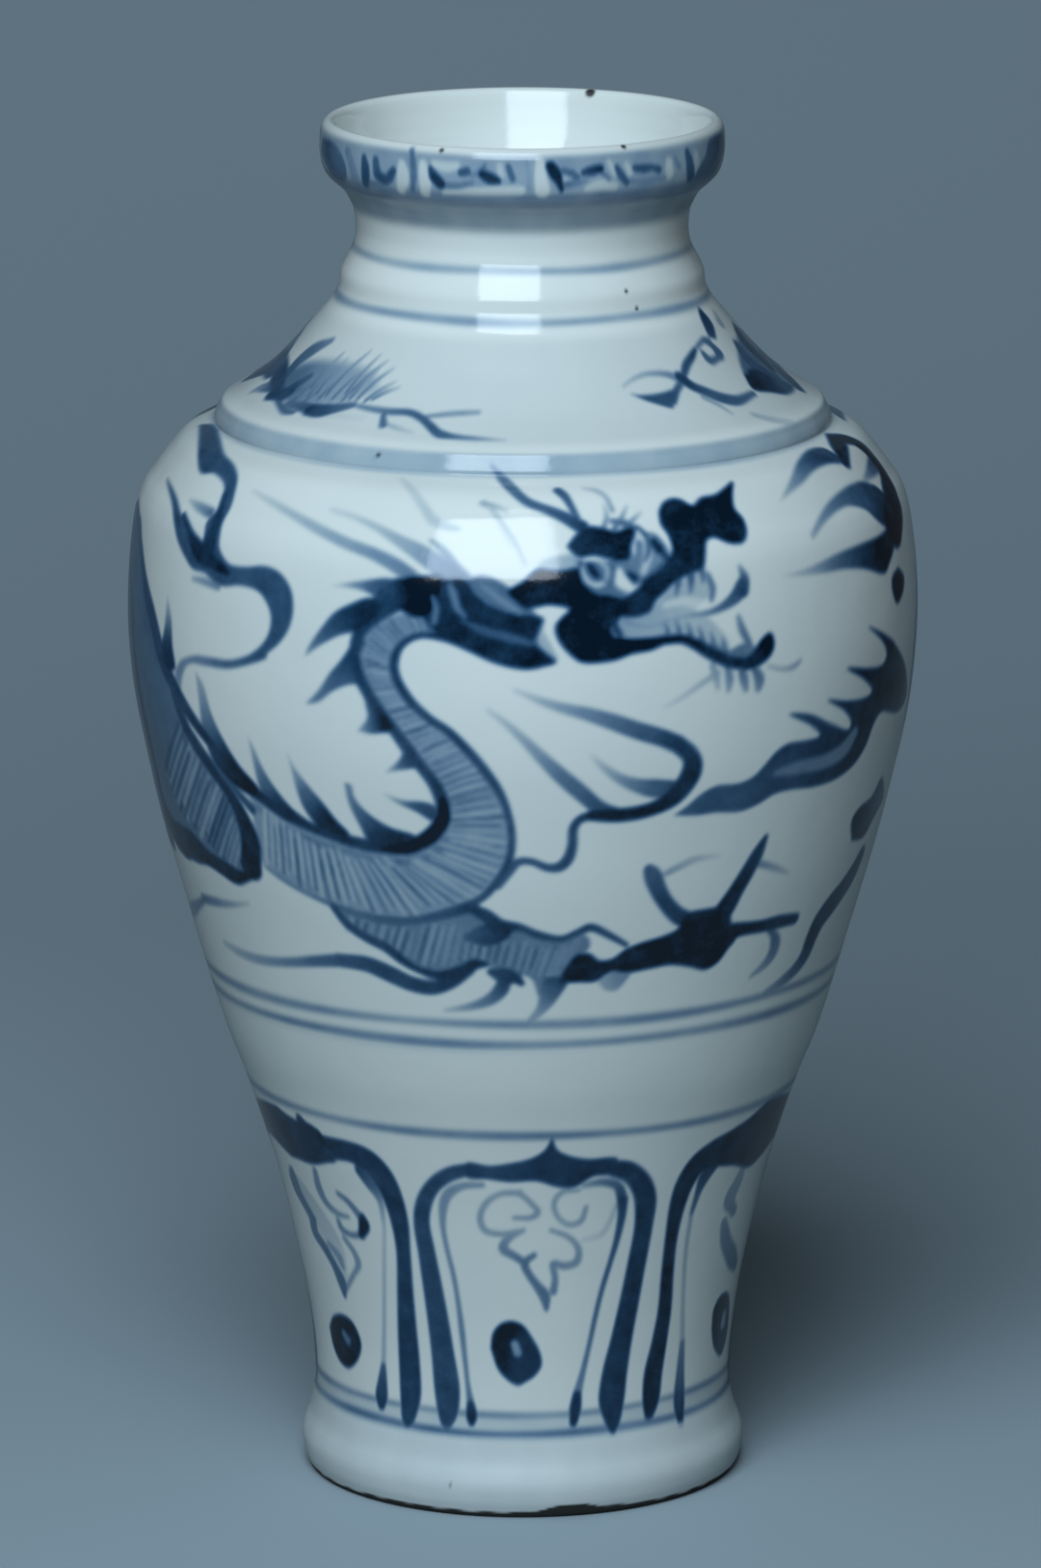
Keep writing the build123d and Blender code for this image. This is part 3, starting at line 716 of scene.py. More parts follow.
BEARD = (
    (0.42, 0.24, ((740, 690, 6), (744, 702, 8), (746, 714, 5))),
    (0.52, 0.34, ((756, 694, 7), (758, 704, 9), (757, 716, 5))),
    (0.58, 0.42, ((770, 694, 7), (773, 704, 10), (775, 715, 6))),
    (0.60, 0.44, ((784, 694, 8), (789, 704, 11), (788, 714, 7))),
    (0.24, 0.36, ((798, 691, 4), (812, 694, 5), (824, 692, 6), (832, 685, 3))),
    (0.30, 0.10, ((746, 698, 7), (728, 710, 6), (708, 724, 5), (690, 734, 3))),
)

# Dragon: legs, claws and ribbons
FORELEG = (
    (0.84, 0.78, ((206, 440), (222, 441), (228, 455), (232, 470), (242, 482), (246, 495), (243, 512),
        (239, 526), (231, 542), (228, 556), (228, 570), (238, 585), (256, 588), (274, 587), (290, 594),
        (301, 610), (304, 630), (300, 650), (290, 666), (276, 678), (262, 685), (252, 684), (268, 672),
        (278, 658), (281, 640), (276, 624), (266, 612), (248, 607), (232, 608), (221, 602), (212, 594),
        (200, 590), (192, 578), (184, 560), (180, 540), (178, 522), (172, 496), (182, 514), (188, 534),
        (196, 552), (205, 566), (211, 558), (214, 542), (224, 530), (230, 518), (232, 502), (222, 491),
        (206, 487))),
)
FORELEG_LINES = (
    (0.92, 0.96, ((190, 534, 4), (198, 556, 8), (208, 574, 16), (222, 584, 14), (236, 594, 8))),
    (0.86, 0.94, ((234, 512, 6), (228, 532, 8), (220, 552, 12), (216, 572, 14))),
    (0.80, 0.35, ((272, 678, 12), (256, 685, 9), (236, 689, 9), (214, 686, 9), (200, 684, 8),
        (190, 688, 7), (185, 700, 7), (184, 716, 6))),
    (0.20, 0.60, ((196, 518, 3), (206, 525, 10), (218, 532, 12))),
    (0.35, 0.50, ((200, 600, 5), (212, 603, 8), (226, 608, 8))),
)
RIBBONS = (
    (0.15, 0.90, ((534, 716, 4), (560, 727, 8), (585, 735, 11), (610, 741, 14), (636, 749, 17),
        (662, 758, 18), (686, 765, 18), (704, 772, 18))),
    (0.90, 1.00, ((704, 772, 18), (717, 784, 19), (719, 798, 20), (711, 814, 19), (698, 828, 17),
        (680, 838, 14), (658, 844, 14), (636, 846, 14), (614, 846, 11))),
    (0.90, 0.70, ((614, 846, 10), (602, 850, 8), (595, 860, 9), (594, 876, 10), (590, 890, 11),
        (581, 899, 10), (568, 900, 8), (552, 894, 7), (538, 894, 8), (527, 904, 11), (516, 918, 10))),
    (0.15, 0.85, ((506, 737, 4), (524, 750, 7), (544, 768, 10), (562, 786, 13), (580, 803, 16),
        (600, 820, 17), (622, 838, 15), (640, 844, 12))),
    (0.12, 0.85, ((614, 784, 4), (628, 797, 8), (644, 808, 11), (662, 815, 15), (680, 818, 19),
        (698, 818, 16))),
)
LEG = (
    (1.00, 1.00, ((578, 1020), (586, 1004), (598, 990), (612, 989), (622, 996), (636, 994), (650, 984),
        (668, 977), (688, 971), (704, 963), (708, 952), (716, 946), (732, 943), (746, 941), (757, 944),
        (760, 958), (765, 972), (755, 986), (746, 998), (732, 1006), (716, 1003), (696, 1001),
        (674, 1005), (652, 1009), (634, 1008), (618, 1018), (600, 1019))),
    (0.90, 0.35, ((594, 1012), (584, 1028), (572, 1044), (556, 1058), (540, 1066), (556, 1046),
        (560, 1030), (566, 1014))),
    (0.30, 0.45, ((618, 1016), (628, 1027), (640, 1027), (649, 1018), (656, 1006), (640, 1004))),
)
CLAWS = (
    (0.72, 0.95, ((674, 902, 12), (678, 909, 19), (683, 922, 18), (691, 936, 17), (703, 949, 18),
        (718, 956, 18))),
    (1.00, 0.85, ((744, 956, 20), (755, 940, 17), (766, 922, 14), (777, 904, 13), (787, 886, 11),
        (796, 868, 4))),
    (1.00, 0.90, ((752, 968, 18), (770, 964, 13), (790, 961, 11), (810, 956, 11), (826, 953, 9))),
    (0.70, 0.30, ((797, 962, 6), (805, 972, 9), (804, 986, 9), (795, 1000, 7), (780, 1013, 3))),
    (0.35, 0.12, ((692, 906, 6), (706, 899, 7), (724, 891, 7), (748, 888, 3))),
    (0.50, 0.20, ((784, 895, 8), (798, 898, 8), (810, 902, 7), (820, 906, 3))),
    (0.85, 0.20, ((524, 1014, 14), (520, 1026, 15), (508, 1037, 12), (488, 1044, 8), (462, 1048, 4))),
    # wave below
    (0.20, 0.75, ((232, 978, 3), (250, 989, 6), (272, 996, 8), (298, 998, 9), (326, 997, 11),
        (352, 996, 13))),
    (0.75, 0.90, ((352, 996, 13), (380, 1000, 15), (404, 1010, 16), (426, 1020, 15), (448, 1024, 15),
        (468, 1018, 14), (486, 1006, 12))),
    (0.35, 0.30, ((430, 1004, 4), (446, 1012, 4), (462, 1014, 3))),
)
# Dragon: flames at its shoulders, by the right edge and the left one
FLAMES = (
    (0.30, 0.85, ((810, 520), (820, 498), (827, 480), (838, 467), (852, 464), (864, 469), (878, 480),
        (860, 481), (845, 488), (832, 502))),
    (0.20, 1.00, ((812, 598), (834, 591), (852, 583), (872, 573), (892, 565), (912, 556), (926, 545),
        (928, 566), (923, 584), (917, 595), (898, 590), (878, 590), (858, 594), (836, 597))),
    (0.74, 0.96, ((700, 846), (714, 836), (728, 824), (745, 815), (766, 813), (782, 806), (793, 795),
        (806, 780), (820, 771), (838, 768), (852, 763), (842, 752), (820, 741), (842, 741), (862, 750),
        (880, 757), (884, 748), (876, 736), (860, 726), (880, 727), (898, 724), (906, 716), (897, 704),
        (880, 693), (902, 693), (916, 690), (921, 678), (916, 664), (902, 650), (922, 660), (932, 672),
        (940, 692), (941, 720), (932, 738), (916, 738), (907, 752), (899, 774), (886, 794), (868, 808),
        (846, 816), (822, 819), (804, 824), (788, 834), (768, 842), (744, 843), (722, 846))),
    (1.00, 1.00, ((932, 588), (938, 598), (937, 614), (931, 626), (926, 612), (926, 598))),
    (1.00, 0.75, ((885, 872), (885, 852), (893, 838), (906, 826), (916, 806), (918, 826), (908, 848),
        (897, 868))),
)
FLAME_LINES = (
    (1.00, 0.95, ((868, 455, 9), (872, 466, 9), (877, 479, 7))),
    (1.00, 1.00, ((868, 455, 8), (882, 456, 8), (896, 464, 8), (907, 476, 9), (917, 490, 9),
        (924, 506, 11), (929, 524, 16), (928, 542, 18))),
    (0.25, 0.85, ((896, 500, 4), (903, 490, 8), (908, 480, 10))),
    (0.30, 0.95, ((844, 556, 5), (853, 540, 8), (865, 525, 13), (880, 516, 17), (898, 516, 19),
        (916, 524, 22))),
    (0.85, 0.90, ((894, 888, 8), (886, 905, 10), (874, 924, 10), (862, 940, 11), (851, 956, 11),
        (843, 974, 10))),
    (0.90, 0.35, ((843, 974, 10), (837, 990, 9), (826, 1006, 8), (810, 1020, 7), (794, 1030, 4))),
    (0.36, 0.62, ((193, 949, 4), (201, 941, 6), (212, 932, 6))),
    (0.60, 0.20, ((210, 932, 5), (226, 936, 6), (242, 938, 5), (258, 937, 3))),
)
FLAME_LIGHTS = (
    (0.55, 0.50, ((806, 802, 6), (830, 796, 12), (856, 790, 12), (876, 778, 10), (888, 760, 6))),
)

# Plants on the shoulder
PINE_WASH = (
    (0.62, 0.34, ((284, 404), (290, 388), (304, 380), (326, 374), (348, 374), (370, 378), (386, 386),
        (392, 398), (380, 410), (350, 420), (312, 422), (290, 416))),
    (0.16, 0.12, ((310, 428), (340, 434), (372, 437), (380, 432), (350, 428))),
)
PINE_CORE = (
    (0.78, 0.82, ((292, 366, 6), (291, 380, 8), (289, 394, 10), (287, 408, 9))),
    (0.30, 0.75, ((261, 406, 3), (270, 402, 5), (284, 401, 7))),
    (0.82, 0.70, ((284, 408, 10), (296, 408, 10), (306, 400, 7), (322, 390, 5))),
    (0.70, 0.62, ((287, 413, 7), (294, 425, 8), (304, 428, 4))),
    (0.60, 0.82, ((300, 418, 7), (314, 422, 9), (326, 425, 12))),
    (0.86, 0.60, ((322, 425, 11), (332, 426, 12), (346, 424, 9), (366, 420, 6))),
    (0.72, 0.48, ((298, 388, 6), (310, 374, 7), (326, 362, 8), (344, 353, 4))),
)
# Needles, each from its root to its tip
PINE_NEEDLES = (
    (300, 398, 318, 372), (304, 402, 326, 378), (310, 404, 334, 374), (314, 406, 340, 380),
    (322, 402, 356, 366), (320, 410, 350, 380), (328, 408, 360, 372), (330, 414, 358, 388),
    (338, 410, 368, 378), (342, 404, 384, 364), (344, 414, 372, 388), (350, 408, 382, 380),
    (354, 416, 384, 390), (358, 408, 394, 368), (362, 414, 392, 384), (364, 406, 402, 374),
    (370, 414, 398, 390), (376, 408, 408, 382), (378, 416, 410, 396), (386, 414, 414, 402),
    (296, 404, 312, 384), (306, 414, 330, 398), (316, 416, 340, 402), (302, 420, 324, 410),
)
TWIGS = (
    (0.45, 0.76, ((362, 419, 4), (384, 424, 6), (404, 427, 7), (424, 428, 7), (437, 434, 8),
        (447, 443, 9))),
    (0.80, 0.20, ((447, 443, 9), (455, 450, 9), (470, 453, 6), (492, 455, 5), (524, 457, 3))),
    (0.46, 0.36, ((438, 432, 3), (452, 431, 5), (474, 429, 6), (496, 428, 5))),
    (0.66, 0.60, ((397, 430, 5), (397, 441, 9))),
    (0.32, 0.14, ((400, 440, 4), (414, 445, 5), (428, 449, 3))),
    # the knotted twig on the right
    (0.30, 0.50, ((647, 401, 3), (658, 393, 4), (672, 388, 5), (690, 388, 6), (704, 392, 8))),
    (0.60, 0.84, ((709, 394, 10), (703, 404, 8), (698, 416, 10))),
    (0.86, 0.66, ((706, 391, 9), (718, 400, 8), (732, 406, 8), (750, 413, 9), (766, 415, 9),
        (782, 408, 6))),
    (0.40, 0.20, ((730, 412, 4), (746, 420, 4), (760, 429, 3))),
    (0.78, 0.92, ((710, 388, 7), (713, 378, 9), (718, 370, 8), (722, 362, 4))),
    (0.70, 0.66, ((722, 362, 4), (731, 353, 6), (741, 360, 5), (747, 369, 8), (738, 374, 7),
        (730, 366, 4))),
    (0.90, 0.84, ((728, 324, 4), (734, 334, 8), (738, 345, 7))),
    (0.60, 0.45, ((738, 346, 4), (733, 356, 4))),
    (0.24, 0.34, ((742, 324, 3), (748, 335, 5))),
    (0.84, 0.90, ((764, 338, 4), (772, 352, 9), (784, 365, 10), (796, 377, 9))),
    (0.80, 0.86, ((786, 352, 5), (800, 372, 9), (814, 388, 10), (827, 401, 7))),
    (0.70, 0.80, ((766, 358, 5), (776, 372, 8), (790, 384, 7), (806, 390, 5))),
    (0.25, 0.15, ((782, 430, 4), (800, 435, 5), (822, 438, 5))),
)
TWIG_SHADE = (
    (0.56, 0.62, ((764, 338), (772, 343), (786, 356), (800, 372), (814, 386), (828, 401), (806, 404),
        (782, 402), (772, 388), (766, 368))),
)
TWIG_PATCHES = (
    (0.86, 0.80, ((655, 409), (668, 410), (684, 408), (698, 404), (706, 398), (700, 412), (699, 423),
        (688, 421), (672, 416))),
    (0.96, 0.84, ((772, 388), (781, 381), (794, 387), (808, 392), (824, 402), (818, 409), (800, 407),
        (782, 404))),
)
GRIT = (
    (0.35, 0.30, ((388, 474, 7), (396, 474, 7))),
)

# Iron specks: (x, y) in the photograph, and size in mm
SPECKS = (
    (458, 156, 1.1), (647, 152, 1.2), (650, 302, 0.8), (661, 320, 0.8), (467, 1539, 0.5), (392, 472, 0.9),
)

# Marks on the band under the lip
BAND_MARKS = (
    (0.79, 0.81, ((377, 164, 6), (378, 176, 9), (378, 190, 7))),
    (0.71, 0.72, ((389, 166, 7), (390, 180, 9))),
    (0.81, 0.78, ((391, 182, 9), (400, 187, 11), (407, 177, 8))),
    (0.55, 0.50, ((380, 190, 7), (392, 190, 7), (406, 189, 5))),
    (0.61, 0.61, ((427, 156, 6), (428, 172, 8), (428, 184, 8), (427, 198, 6))),
    (0.80, 0.96, ((446, 175, 6), (450, 184, 11), (456, 191, 11))),
    (0.60, 0.55, ((458, 192, 8), (474, 193, 8), (489, 190, 7))),
    (0.78, 0.75, ((478, 179, 9), (484, 178, 10))),
    (0.50, 0.60, ((488, 182, 8), (496, 180, 9), (503, 172, 6))),
    (0.94, 0.97, ((500, 181, 10), (508, 185, 13), (517, 188, 7))),
    (0.67, 0.69, ((527, 172, 7), (529, 178, 8), (532, 186, 8))),
    (0.42, 0.42, ((546, 166, 6), (548, 182, 7), (549, 198, 6))),
    (0.97, 1.00, ((571, 172, 11), (576, 180, 14), (580, 189, 9), (583, 197, 6))),
    (0.66, 0.69, ((584, 177, 7), (593, 180, 9), (600, 184, 7))),
    (0.60, 0.50, ((586, 192, 8), (598, 190, 9), (609, 187, 6))),
    (0.84, 0.97, ((606, 179, 8), (615, 177, 11), (623, 175, 9))),
    (0.63, 0.55, ((625, 179, 6), (633, 186, 6))),
    (0.75, 0.78, ((640, 173, 6), (645, 182, 9), (651, 190, 7))),
    (0.78, 0.75, ((659, 174, 8), (668, 175, 10), (678, 174, 8), (684, 176, 9))),
    (0.50, 0.45, ((652, 188, 8), (670, 188, 8), (690, 184, 6))),
    (0.45, 0.50, ((700, 163, 5), (705, 173, 6))),
    (0.72, 0.75, ((713, 158, 6), (716, 170, 8), (717, 183, 8))),
    (0.50, 0.45, ((360, 158, 7), (364, 172, 8), (368, 188, 8))),
)
BAND_WASHES = (
    (0.80, 0.66, ((334, 142), (344, 146), (352, 156), (358, 172), (358, 188), (346, 184), (338, 172),
        (333, 158))),
    (0.80, 0.62, ((750, 136), (752, 156), (744, 176), (732, 186), (720, 188), (722, 180), (732, 160),
        (736, 144))),
)
BAND_GAPS = (
    (0.14, 0.10, ((416, 170, 8), (417, 184, 13), (415, 197, 9))),
    (0.10, 0.10, ((438, 170, 8), (440, 184, 13), (440, 200, 10))),
    (0.14, 0.16, ((450, 170, 8), (462, 173, 12), (473, 172, 9))),
    (0.12, 0.12, ((460, 200, 5), (500, 199, 9), (540, 198, 10))),
    (0.20, 0.20, ((518, 172, 6), (520, 182, 7))),
    (0.10, 0.08, ((560, 168, 9), (561, 184, 13), (563, 198, 16))),
    (0.22, 0.22, ((584, 186, 5), (592, 186, 5))),
    (0.14, 0.14, ((610, 196, 7), (624, 192, 12), (638, 194, 8))),
    (0.18, 0.18, ((632, 168, 6), (638, 180, 6))),
    (0.18, 0.18, ((650, 170, 5), (654, 180, 6))),
    (0.16, 0.16, ((694, 168, 7), (695, 180, 9))),
    (0.24, 0.24, ((722, 160, 5), (724, 174, 6))),
)

# Lotus petals round the foot: the one in the middle, and what shows of its neighbours
PETAL_SIDES = (
    (0.82, 0.84, ((486, 1213, 13), (466, 1218, 15), (450, 1229, 16), (440, 1246, 17), (437, 1268, 16),
        (442, 1298, 17), (448, 1332, 19), (454, 1368, 21), (459, 1404, 23), (463, 1438, 26),
        (464, 1462, 22), (463, 1474, 14))),
    (0.90, 0.90, ((634, 1211, 16), (652, 1215, 21), (664, 1226, 24), (670, 1244, 22), (668, 1272, 18),
        (661, 1310, 18), (653, 1350, 19), (645, 1388, 21), (638, 1424, 25), (635, 1452, 26),
        (636, 1470, 18), (636, 1482, 9))),
)
PETAL_TOP = (
    (0.90, 0.86, ((573, 1178), (578, 1192), (592, 1199), (612, 1202), (640, 1201), (640, 1217),
        (616, 1220), (596, 1231), (578, 1231), (556, 1225), (530, 1226), (505, 1223), (484, 1221),
        (484, 1206), (508, 1209), (532, 1206), (552, 1201), (566, 1192))),
)
PETAL_LININGS = (
    (0.40, 0.55, ((500, 1229, 6), (480, 1230, 8), (466, 1237, 11), (460, 1249, 10), (459, 1270, 6),
        (463, 1294, 5), (470, 1322, 5), (475, 1350, 5), (479, 1380, 6), (482, 1408, 5), (485, 1436, 5),
        (488, 1456, 8))),
    (0.90, 0.95, ((488, 1456, 8), (489, 1468, 12), (489, 1476, 7))),
    (0.35, 0.85, ((606, 1229, 6), (626, 1226, 8), (641, 1230, 10), (646, 1244, 11))),
    (0.85, 0.50, ((646, 1244, 11), (645, 1262, 8), (640, 1286, 6), (633, 1310, 5), (625, 1336, 5),
        (618, 1364, 5), (612, 1392, 5), (605, 1422, 6), (599, 1446, 9))),
    (0.90, 0.95, ((599, 1446, 9), (597, 1462, 12), (595, 1476, 8))),
)
PETAL_SCROLLS = (
    (0.30, 0.38, ((540, 1236, 5), (520, 1238, 6), (505, 1247, 7), (498, 1262, 7), (503, 1276, 7),
        (520, 1280, 6), (538, 1277, 5))),
    (0.35, 0.35, ((520, 1238, 5), (538, 1238, 6), (550, 1247, 6), (558, 1257, 7), (550, 1263, 6),
        (534, 1263, 5))),
    (0.30, 0.35, ((600, 1234, 5), (584, 1236, 6), (575, 1247, 6), (578, 1261, 6), (590, 1270, 6),
        (603, 1266, 6), (608, 1252, 5))),
    (0.10, 0.22, ((606, 1286, 5), (624, 1280, 6), (634, 1264, 5), (640, 1248, 4))),
    (0.35, 0.60, ((543, 1276, 5), (528, 1284, 8), (522, 1295, 10), (534, 1303, 8), (545, 1310, 8))),
    (0.55, 0.60, ((554, 1302, 6), (544, 1310, 8), (549, 1322, 8), (557, 1333, 9), (565, 1344, 12),
        (567, 1358, 5))),
    (0.35, 0.50, ((572, 1276, 5), (590, 1283, 6), (600, 1295, 7), (598, 1309, 8), (585, 1313, 8),
        (574, 1311, 7), (576, 1326, 7), (574, 1340, 8))),
)
PETAL_DOT = (
    (1.00, 0.90, ((509, 1398), (511, 1383), (519, 1373), (531, 1370), (543, 1375), (552, 1387),
        (560, 1402), (562, 1416), (555, 1427), (546, 1433), (537, 1437), (526, 1431), (516, 1419))),
)
PETAL_DOT_LIGHT = (
    (0.40, 0.44, ((534, 1394, 8), (537, 1403, 9))),
)
LEFT_PETAL = (
    (0.88, 0.88, ((338, 1190, 20), (360, 1194, 18), (380, 1203, 20), (395, 1219, 21), (406, 1240, 19),
        (414, 1268, 17), (418, 1300, 14), (420, 1340, 16), (422, 1380, 19), (424, 1415, 21),
        (425, 1446, 21), (423, 1468, 15), (422, 1476, 8))),
    (0.95, 0.90, ((266, 1152, 10), (282, 1164, 17), (300, 1177, 22), (318, 1186, 26), (338, 1192, 20))),
    (0.90, 0.95, ((310, 1160, 5), (316, 1172, 12), (326, 1182, 18))),
    (0.80, 0.20, ((375, 1214, 12), (385, 1228, 12), (394, 1246, 6), (398, 1272, 4))),
    (0.20, 0.30, ((398, 1272, 4), (398, 1320, 4), (398, 1370, 4), (397, 1416, 5))),
    (0.70, 0.95, ((397, 1416, 5), (396, 1432, 9), (395, 1448, 12), (395, 1458, 7))),
    # scroll
    (0.20, 0.14, ((306, 1222, 5), (320, 1248, 12), (338, 1276, 14), (350, 1300, 12), (357, 1330, 6))),
    (0.56, 0.60, ((302, 1214, 4), (304, 1224, 8), (308, 1235, 7), (316, 1250, 5), (324, 1264, 5))),
    (0.50, 0.42, ((326, 1214, 4), (330, 1232, 6), (338, 1248, 5), (350, 1259, 5), (360, 1262, 4))),
    (0.50, 0.56, ((350, 1238, 4), (360, 1246, 5), (370, 1258, 6), (378, 1270, 7))),
    (0.95, 0.95, ((375, 1262, 6), (377, 1272, 11), (374, 1281, 8))),
    (0.60, 0.46, ((374, 1281, 7), (364, 1281, 5), (354, 1275, 5), (350, 1266, 4))),
    (0.56, 0.66, ((312, 1244, 5), (322, 1262, 6), (326, 1278, 6), (336, 1294, 6), (346, 1312, 6),
        (354, 1330, 8), (357, 1344, 3))),
    (0.40, 0.46, ((356, 1284, 4), (366, 1298, 5), (371, 1312, 6), (366, 1322, 5), (358, 1338, 4))),
    (0.40, 0.44, ((340, 1290, 4), (350, 1302, 6), (355, 1314, 4))),
)
LEFT_DOT = (
    (1.00, 1.00, ((341, 1376), (345, 1365), (354, 1363), (364, 1370), (371, 1383), (374, 1397),
        (370, 1411), (361, 1419), (352, 1412), (345, 1396))),
)
LEFT_DOT_LIGHT = (
    (0.60, 0.62, ((356, 1383, 4), (360, 1390, 5))),
)
RIGHT_PETAL = (
    (0.95, 0.95, ((822, 1146, 10), (804, 1164, 22), (784, 1178, 28), (762, 1188, 26), (742, 1196, 22),
        (724, 1208, 18), (711, 1228, 17), (703, 1252, 15), (697, 1284, 12), (693, 1320, 12),
        (690, 1356, 13), (684, 1392, 15), (678, 1424, 18), (676, 1450, 17), (674, 1466, 10))),
    (0.90, 0.60, ((742, 1208, 8), (732, 1220, 10), (725, 1236, 6), (718, 1258, 4))),
    (0.30, 0.25, ((718, 1258, 4), (712, 1300, 4), (709, 1350, 4), (708, 1392, 5))),
    (0.50, 0.95, ((708, 1392, 5), (706, 1424, 8), (705, 1452, 11), (706, 1470, 8))),
    (0.30, 0.45, ((772, 1210, 4), (766, 1226, 8), (758, 1244, 10), (762, 1256, 7))),
    (0.40, 0.60, ((752, 1268, 6), (754, 1286, 9), (760, 1302, 9), (764, 1312, 5))),
)
RIGHT_DOT = (
    (1.00, 0.90, ((739, 1378), (741, 1358), (749, 1343), (757, 1342), (757, 1366), (754, 1390),
        (748, 1406), (741, 1396))),
)
RIGHT_DOT_LIGHT = (
    (0.40, 0.40, ((752, 1364, 4), (751, 1372, 5))),
)

BOTH_SIDES = (0.0, np.pi)
FRONT_ONLY = (0.0,)
PETAL_TURN = np.pi / 3
WHOLE_PETALS = (0.0, 2 * PETAL_TURN, 3 * PETAL_TURN, 4 * PETAL_TURN)
LEFT_PETAL_TURN = -1.04 * PETAL_TURN  # it stands a little wide

# Ring lines: (height, width, tone, tilt, softness of the edges), with lengths in mm; the one at 290.8 is
# painted shade
RING_LINES = (
    (18.6, 1.8, 0.70, 0.2, 0.8),
    (22.9, 1.5, 0.55, 0.2, 0.8),
    (89.2, 2.0, 0.55, 0.0, 1.0),
    (111.7, 2.0, 0.55, 0.5, 1.0),
    (116.3, 2.0, 0.52, 0.5, 1.0),
    (234.3, 1.6, 0.34, 0.0, 1.0),
    (237.8, 1.4, 0.24, 0.0, 1.0),
    (262.3, 1.8, 0.48, 0.0, 0.9),
    (272.4, 1.6, 0.42, 0.0, 0.8),
    # painted shade along the collar's lower edge
    (290.8, 1.0, 0.52, 0.0, 0.8),
    (298.0, 0.7, 0.44, 0.0, 0.6),
)
# Washes round the vase, some of them painted shade: (lower height, upper height, tone, seed of the
# unevenness, softness)
RING_WASHES_AND_SHADES = (
    (1.0, 17.6, 0.11, 7, 1.5),
    (18.8, 22.6, 0.16, 5, EDGE),
    (234.6, 238.6, 0.30, 4, EDGE),
    # painted shade on the shoulder's slope, which faces the lamp
    (240.0, 259.0, 0.05, 6, 2.0),
    # the next two: a cobalt wash under the collar, laid darker as painted shade under its overhang
    (281.0, 290.6, 0.32, 2, 1.8),
    (286.4, 290.8, 0.50, 5, 1.2),
    (290.4, 298.4, 0.40, 3, 0.7),
)
# Painted shade round the vase, a dark grey in the glaze on the shoulder's slope, under the collar and on the
# lip: (lower height, upper height, amount of grey, softness)
PAINTED_SHADES = (
    (240.0, 259.0, 0.07, 2.0),
    (281.0, 290.6, 0.28, 1.8),
    (296.5, 299.8, 0.10, 1.5),
)

# The spread of the strokes across a coil
RUNG_SHIFT = 0.05  # of the way between two pairs of places
RUNG_BOW = 2  # pixels
RUNG_STARTS, RUNG_ENDS = (0.0, 0.2), (0.8, 1.0)  # of the coil's breadth
RUNG_LOADS = (0.82, 1.18)  # of their tone
RUNG_WIDTHS = (0.8, 1.0, 0.7)  # of their width, from start to end

TOOTH = ((0, 0, 4), (2, 8, 6), (5, 18, 6))  # a stroke: pixels right of its root and down, and width
TOOTH_TONES = (0.45, 0.70)
NEEDLE_TONES, NEEDLE_WIDTHS = (0.60, 0.28), (3, 4, 2)
NEEDLE_BOW = 1  # pixels that its middle lies up and to the left
LIP_CHIP = (158.6, 1.2, 2.2)  # degrees round the vase, mm past the lip's crest, and size in mm


def hatch(rungs, count, width, dark, lights, seed):
    """Scales: strokes across a coil between its two sides, darker and wiped by turns."""
    hand = np.random.default_rng(seed)  # the painter's, a little unsteady
    sides = np.array(rungs, float).reshape(len(rungs), 4)
    steps = np.arange(len(rungs))
    for k, place in enumerate(np.linspace(0, steps[-1], 2 * count)):
        place = np.clip(place + hand.uniform(-RUNG_SHIFT, RUNG_SHIFT), 0, steps[-1])
        x0, y0, x1, y1 = [np.interp(place, steps, sides[:, column]) for column in range(4)]
        start, end = hand.uniform(*RUNG_STARTS), hand.uniform(*RUNG_ENDS)
        bow = hand.uniform(-RUNG_BOW, RUNG_BOW)
        line = [
            (x0 + share * (x1 - x0), y0 + share * (y1 - y0) + bow * np.sin(np.pi * share), width * thick)
            for share, thick in zip((start, (start + end) / 2, end), RUNG_WIDTHS)
        ]
        wiped = bool(k % 2)
        tone = np.interp(place, (0, steps[-1]), lights) if wiped else dark
        tone *= hand.uniform(*RUNG_LOADS)
        paint_strokes([(tone, tone, line)], BOTH_SIDES, wiped)


def paint_coils():
    """The dragon's coils, with their scales, mane and spined edge."""
    paint_patches(COIL_WASHES, BOTH_SIDES)
    paint_patches(COIL_SHADE, BOTH_SIDES, soft=2.5)
    hatch(COIL_RUNGS, count=66, width=4.5, dark=0.66, lights=(0.46, 0.25), seed=1)
    hatch(FAR_COIL_RUNGS, count=16, width=4.0, dark=0.78, lights=(0.46, 0.36), seed=2)
    hatch(LOWER_COIL_RUNGS, count=26, width=4.5, dark=0.72, lights=(0.42, 0.42), seed=3)
    paint_strokes(MANE, BOTH_SIDES)
    paint_patches(NECK_PATCHES, BOTH_SIDES)
    paint_strokes(COIL_LINES, BOTH_SIDES)
    paint_strokes(FAR_TURN_WIPES, BOTH_SIDES, lift=True, levels=True)
    paint_patches(FAR_TURN_WASH, BOTH_SIDES, levels=True)
    paint_strokes(FAR_TURN_RUNGS + FAR_TURN_EDGE, BOTH_SIDES, levels=True)
    paint_strokes(NECK_LIGHTS, BOTH_SIDES, lift=True)


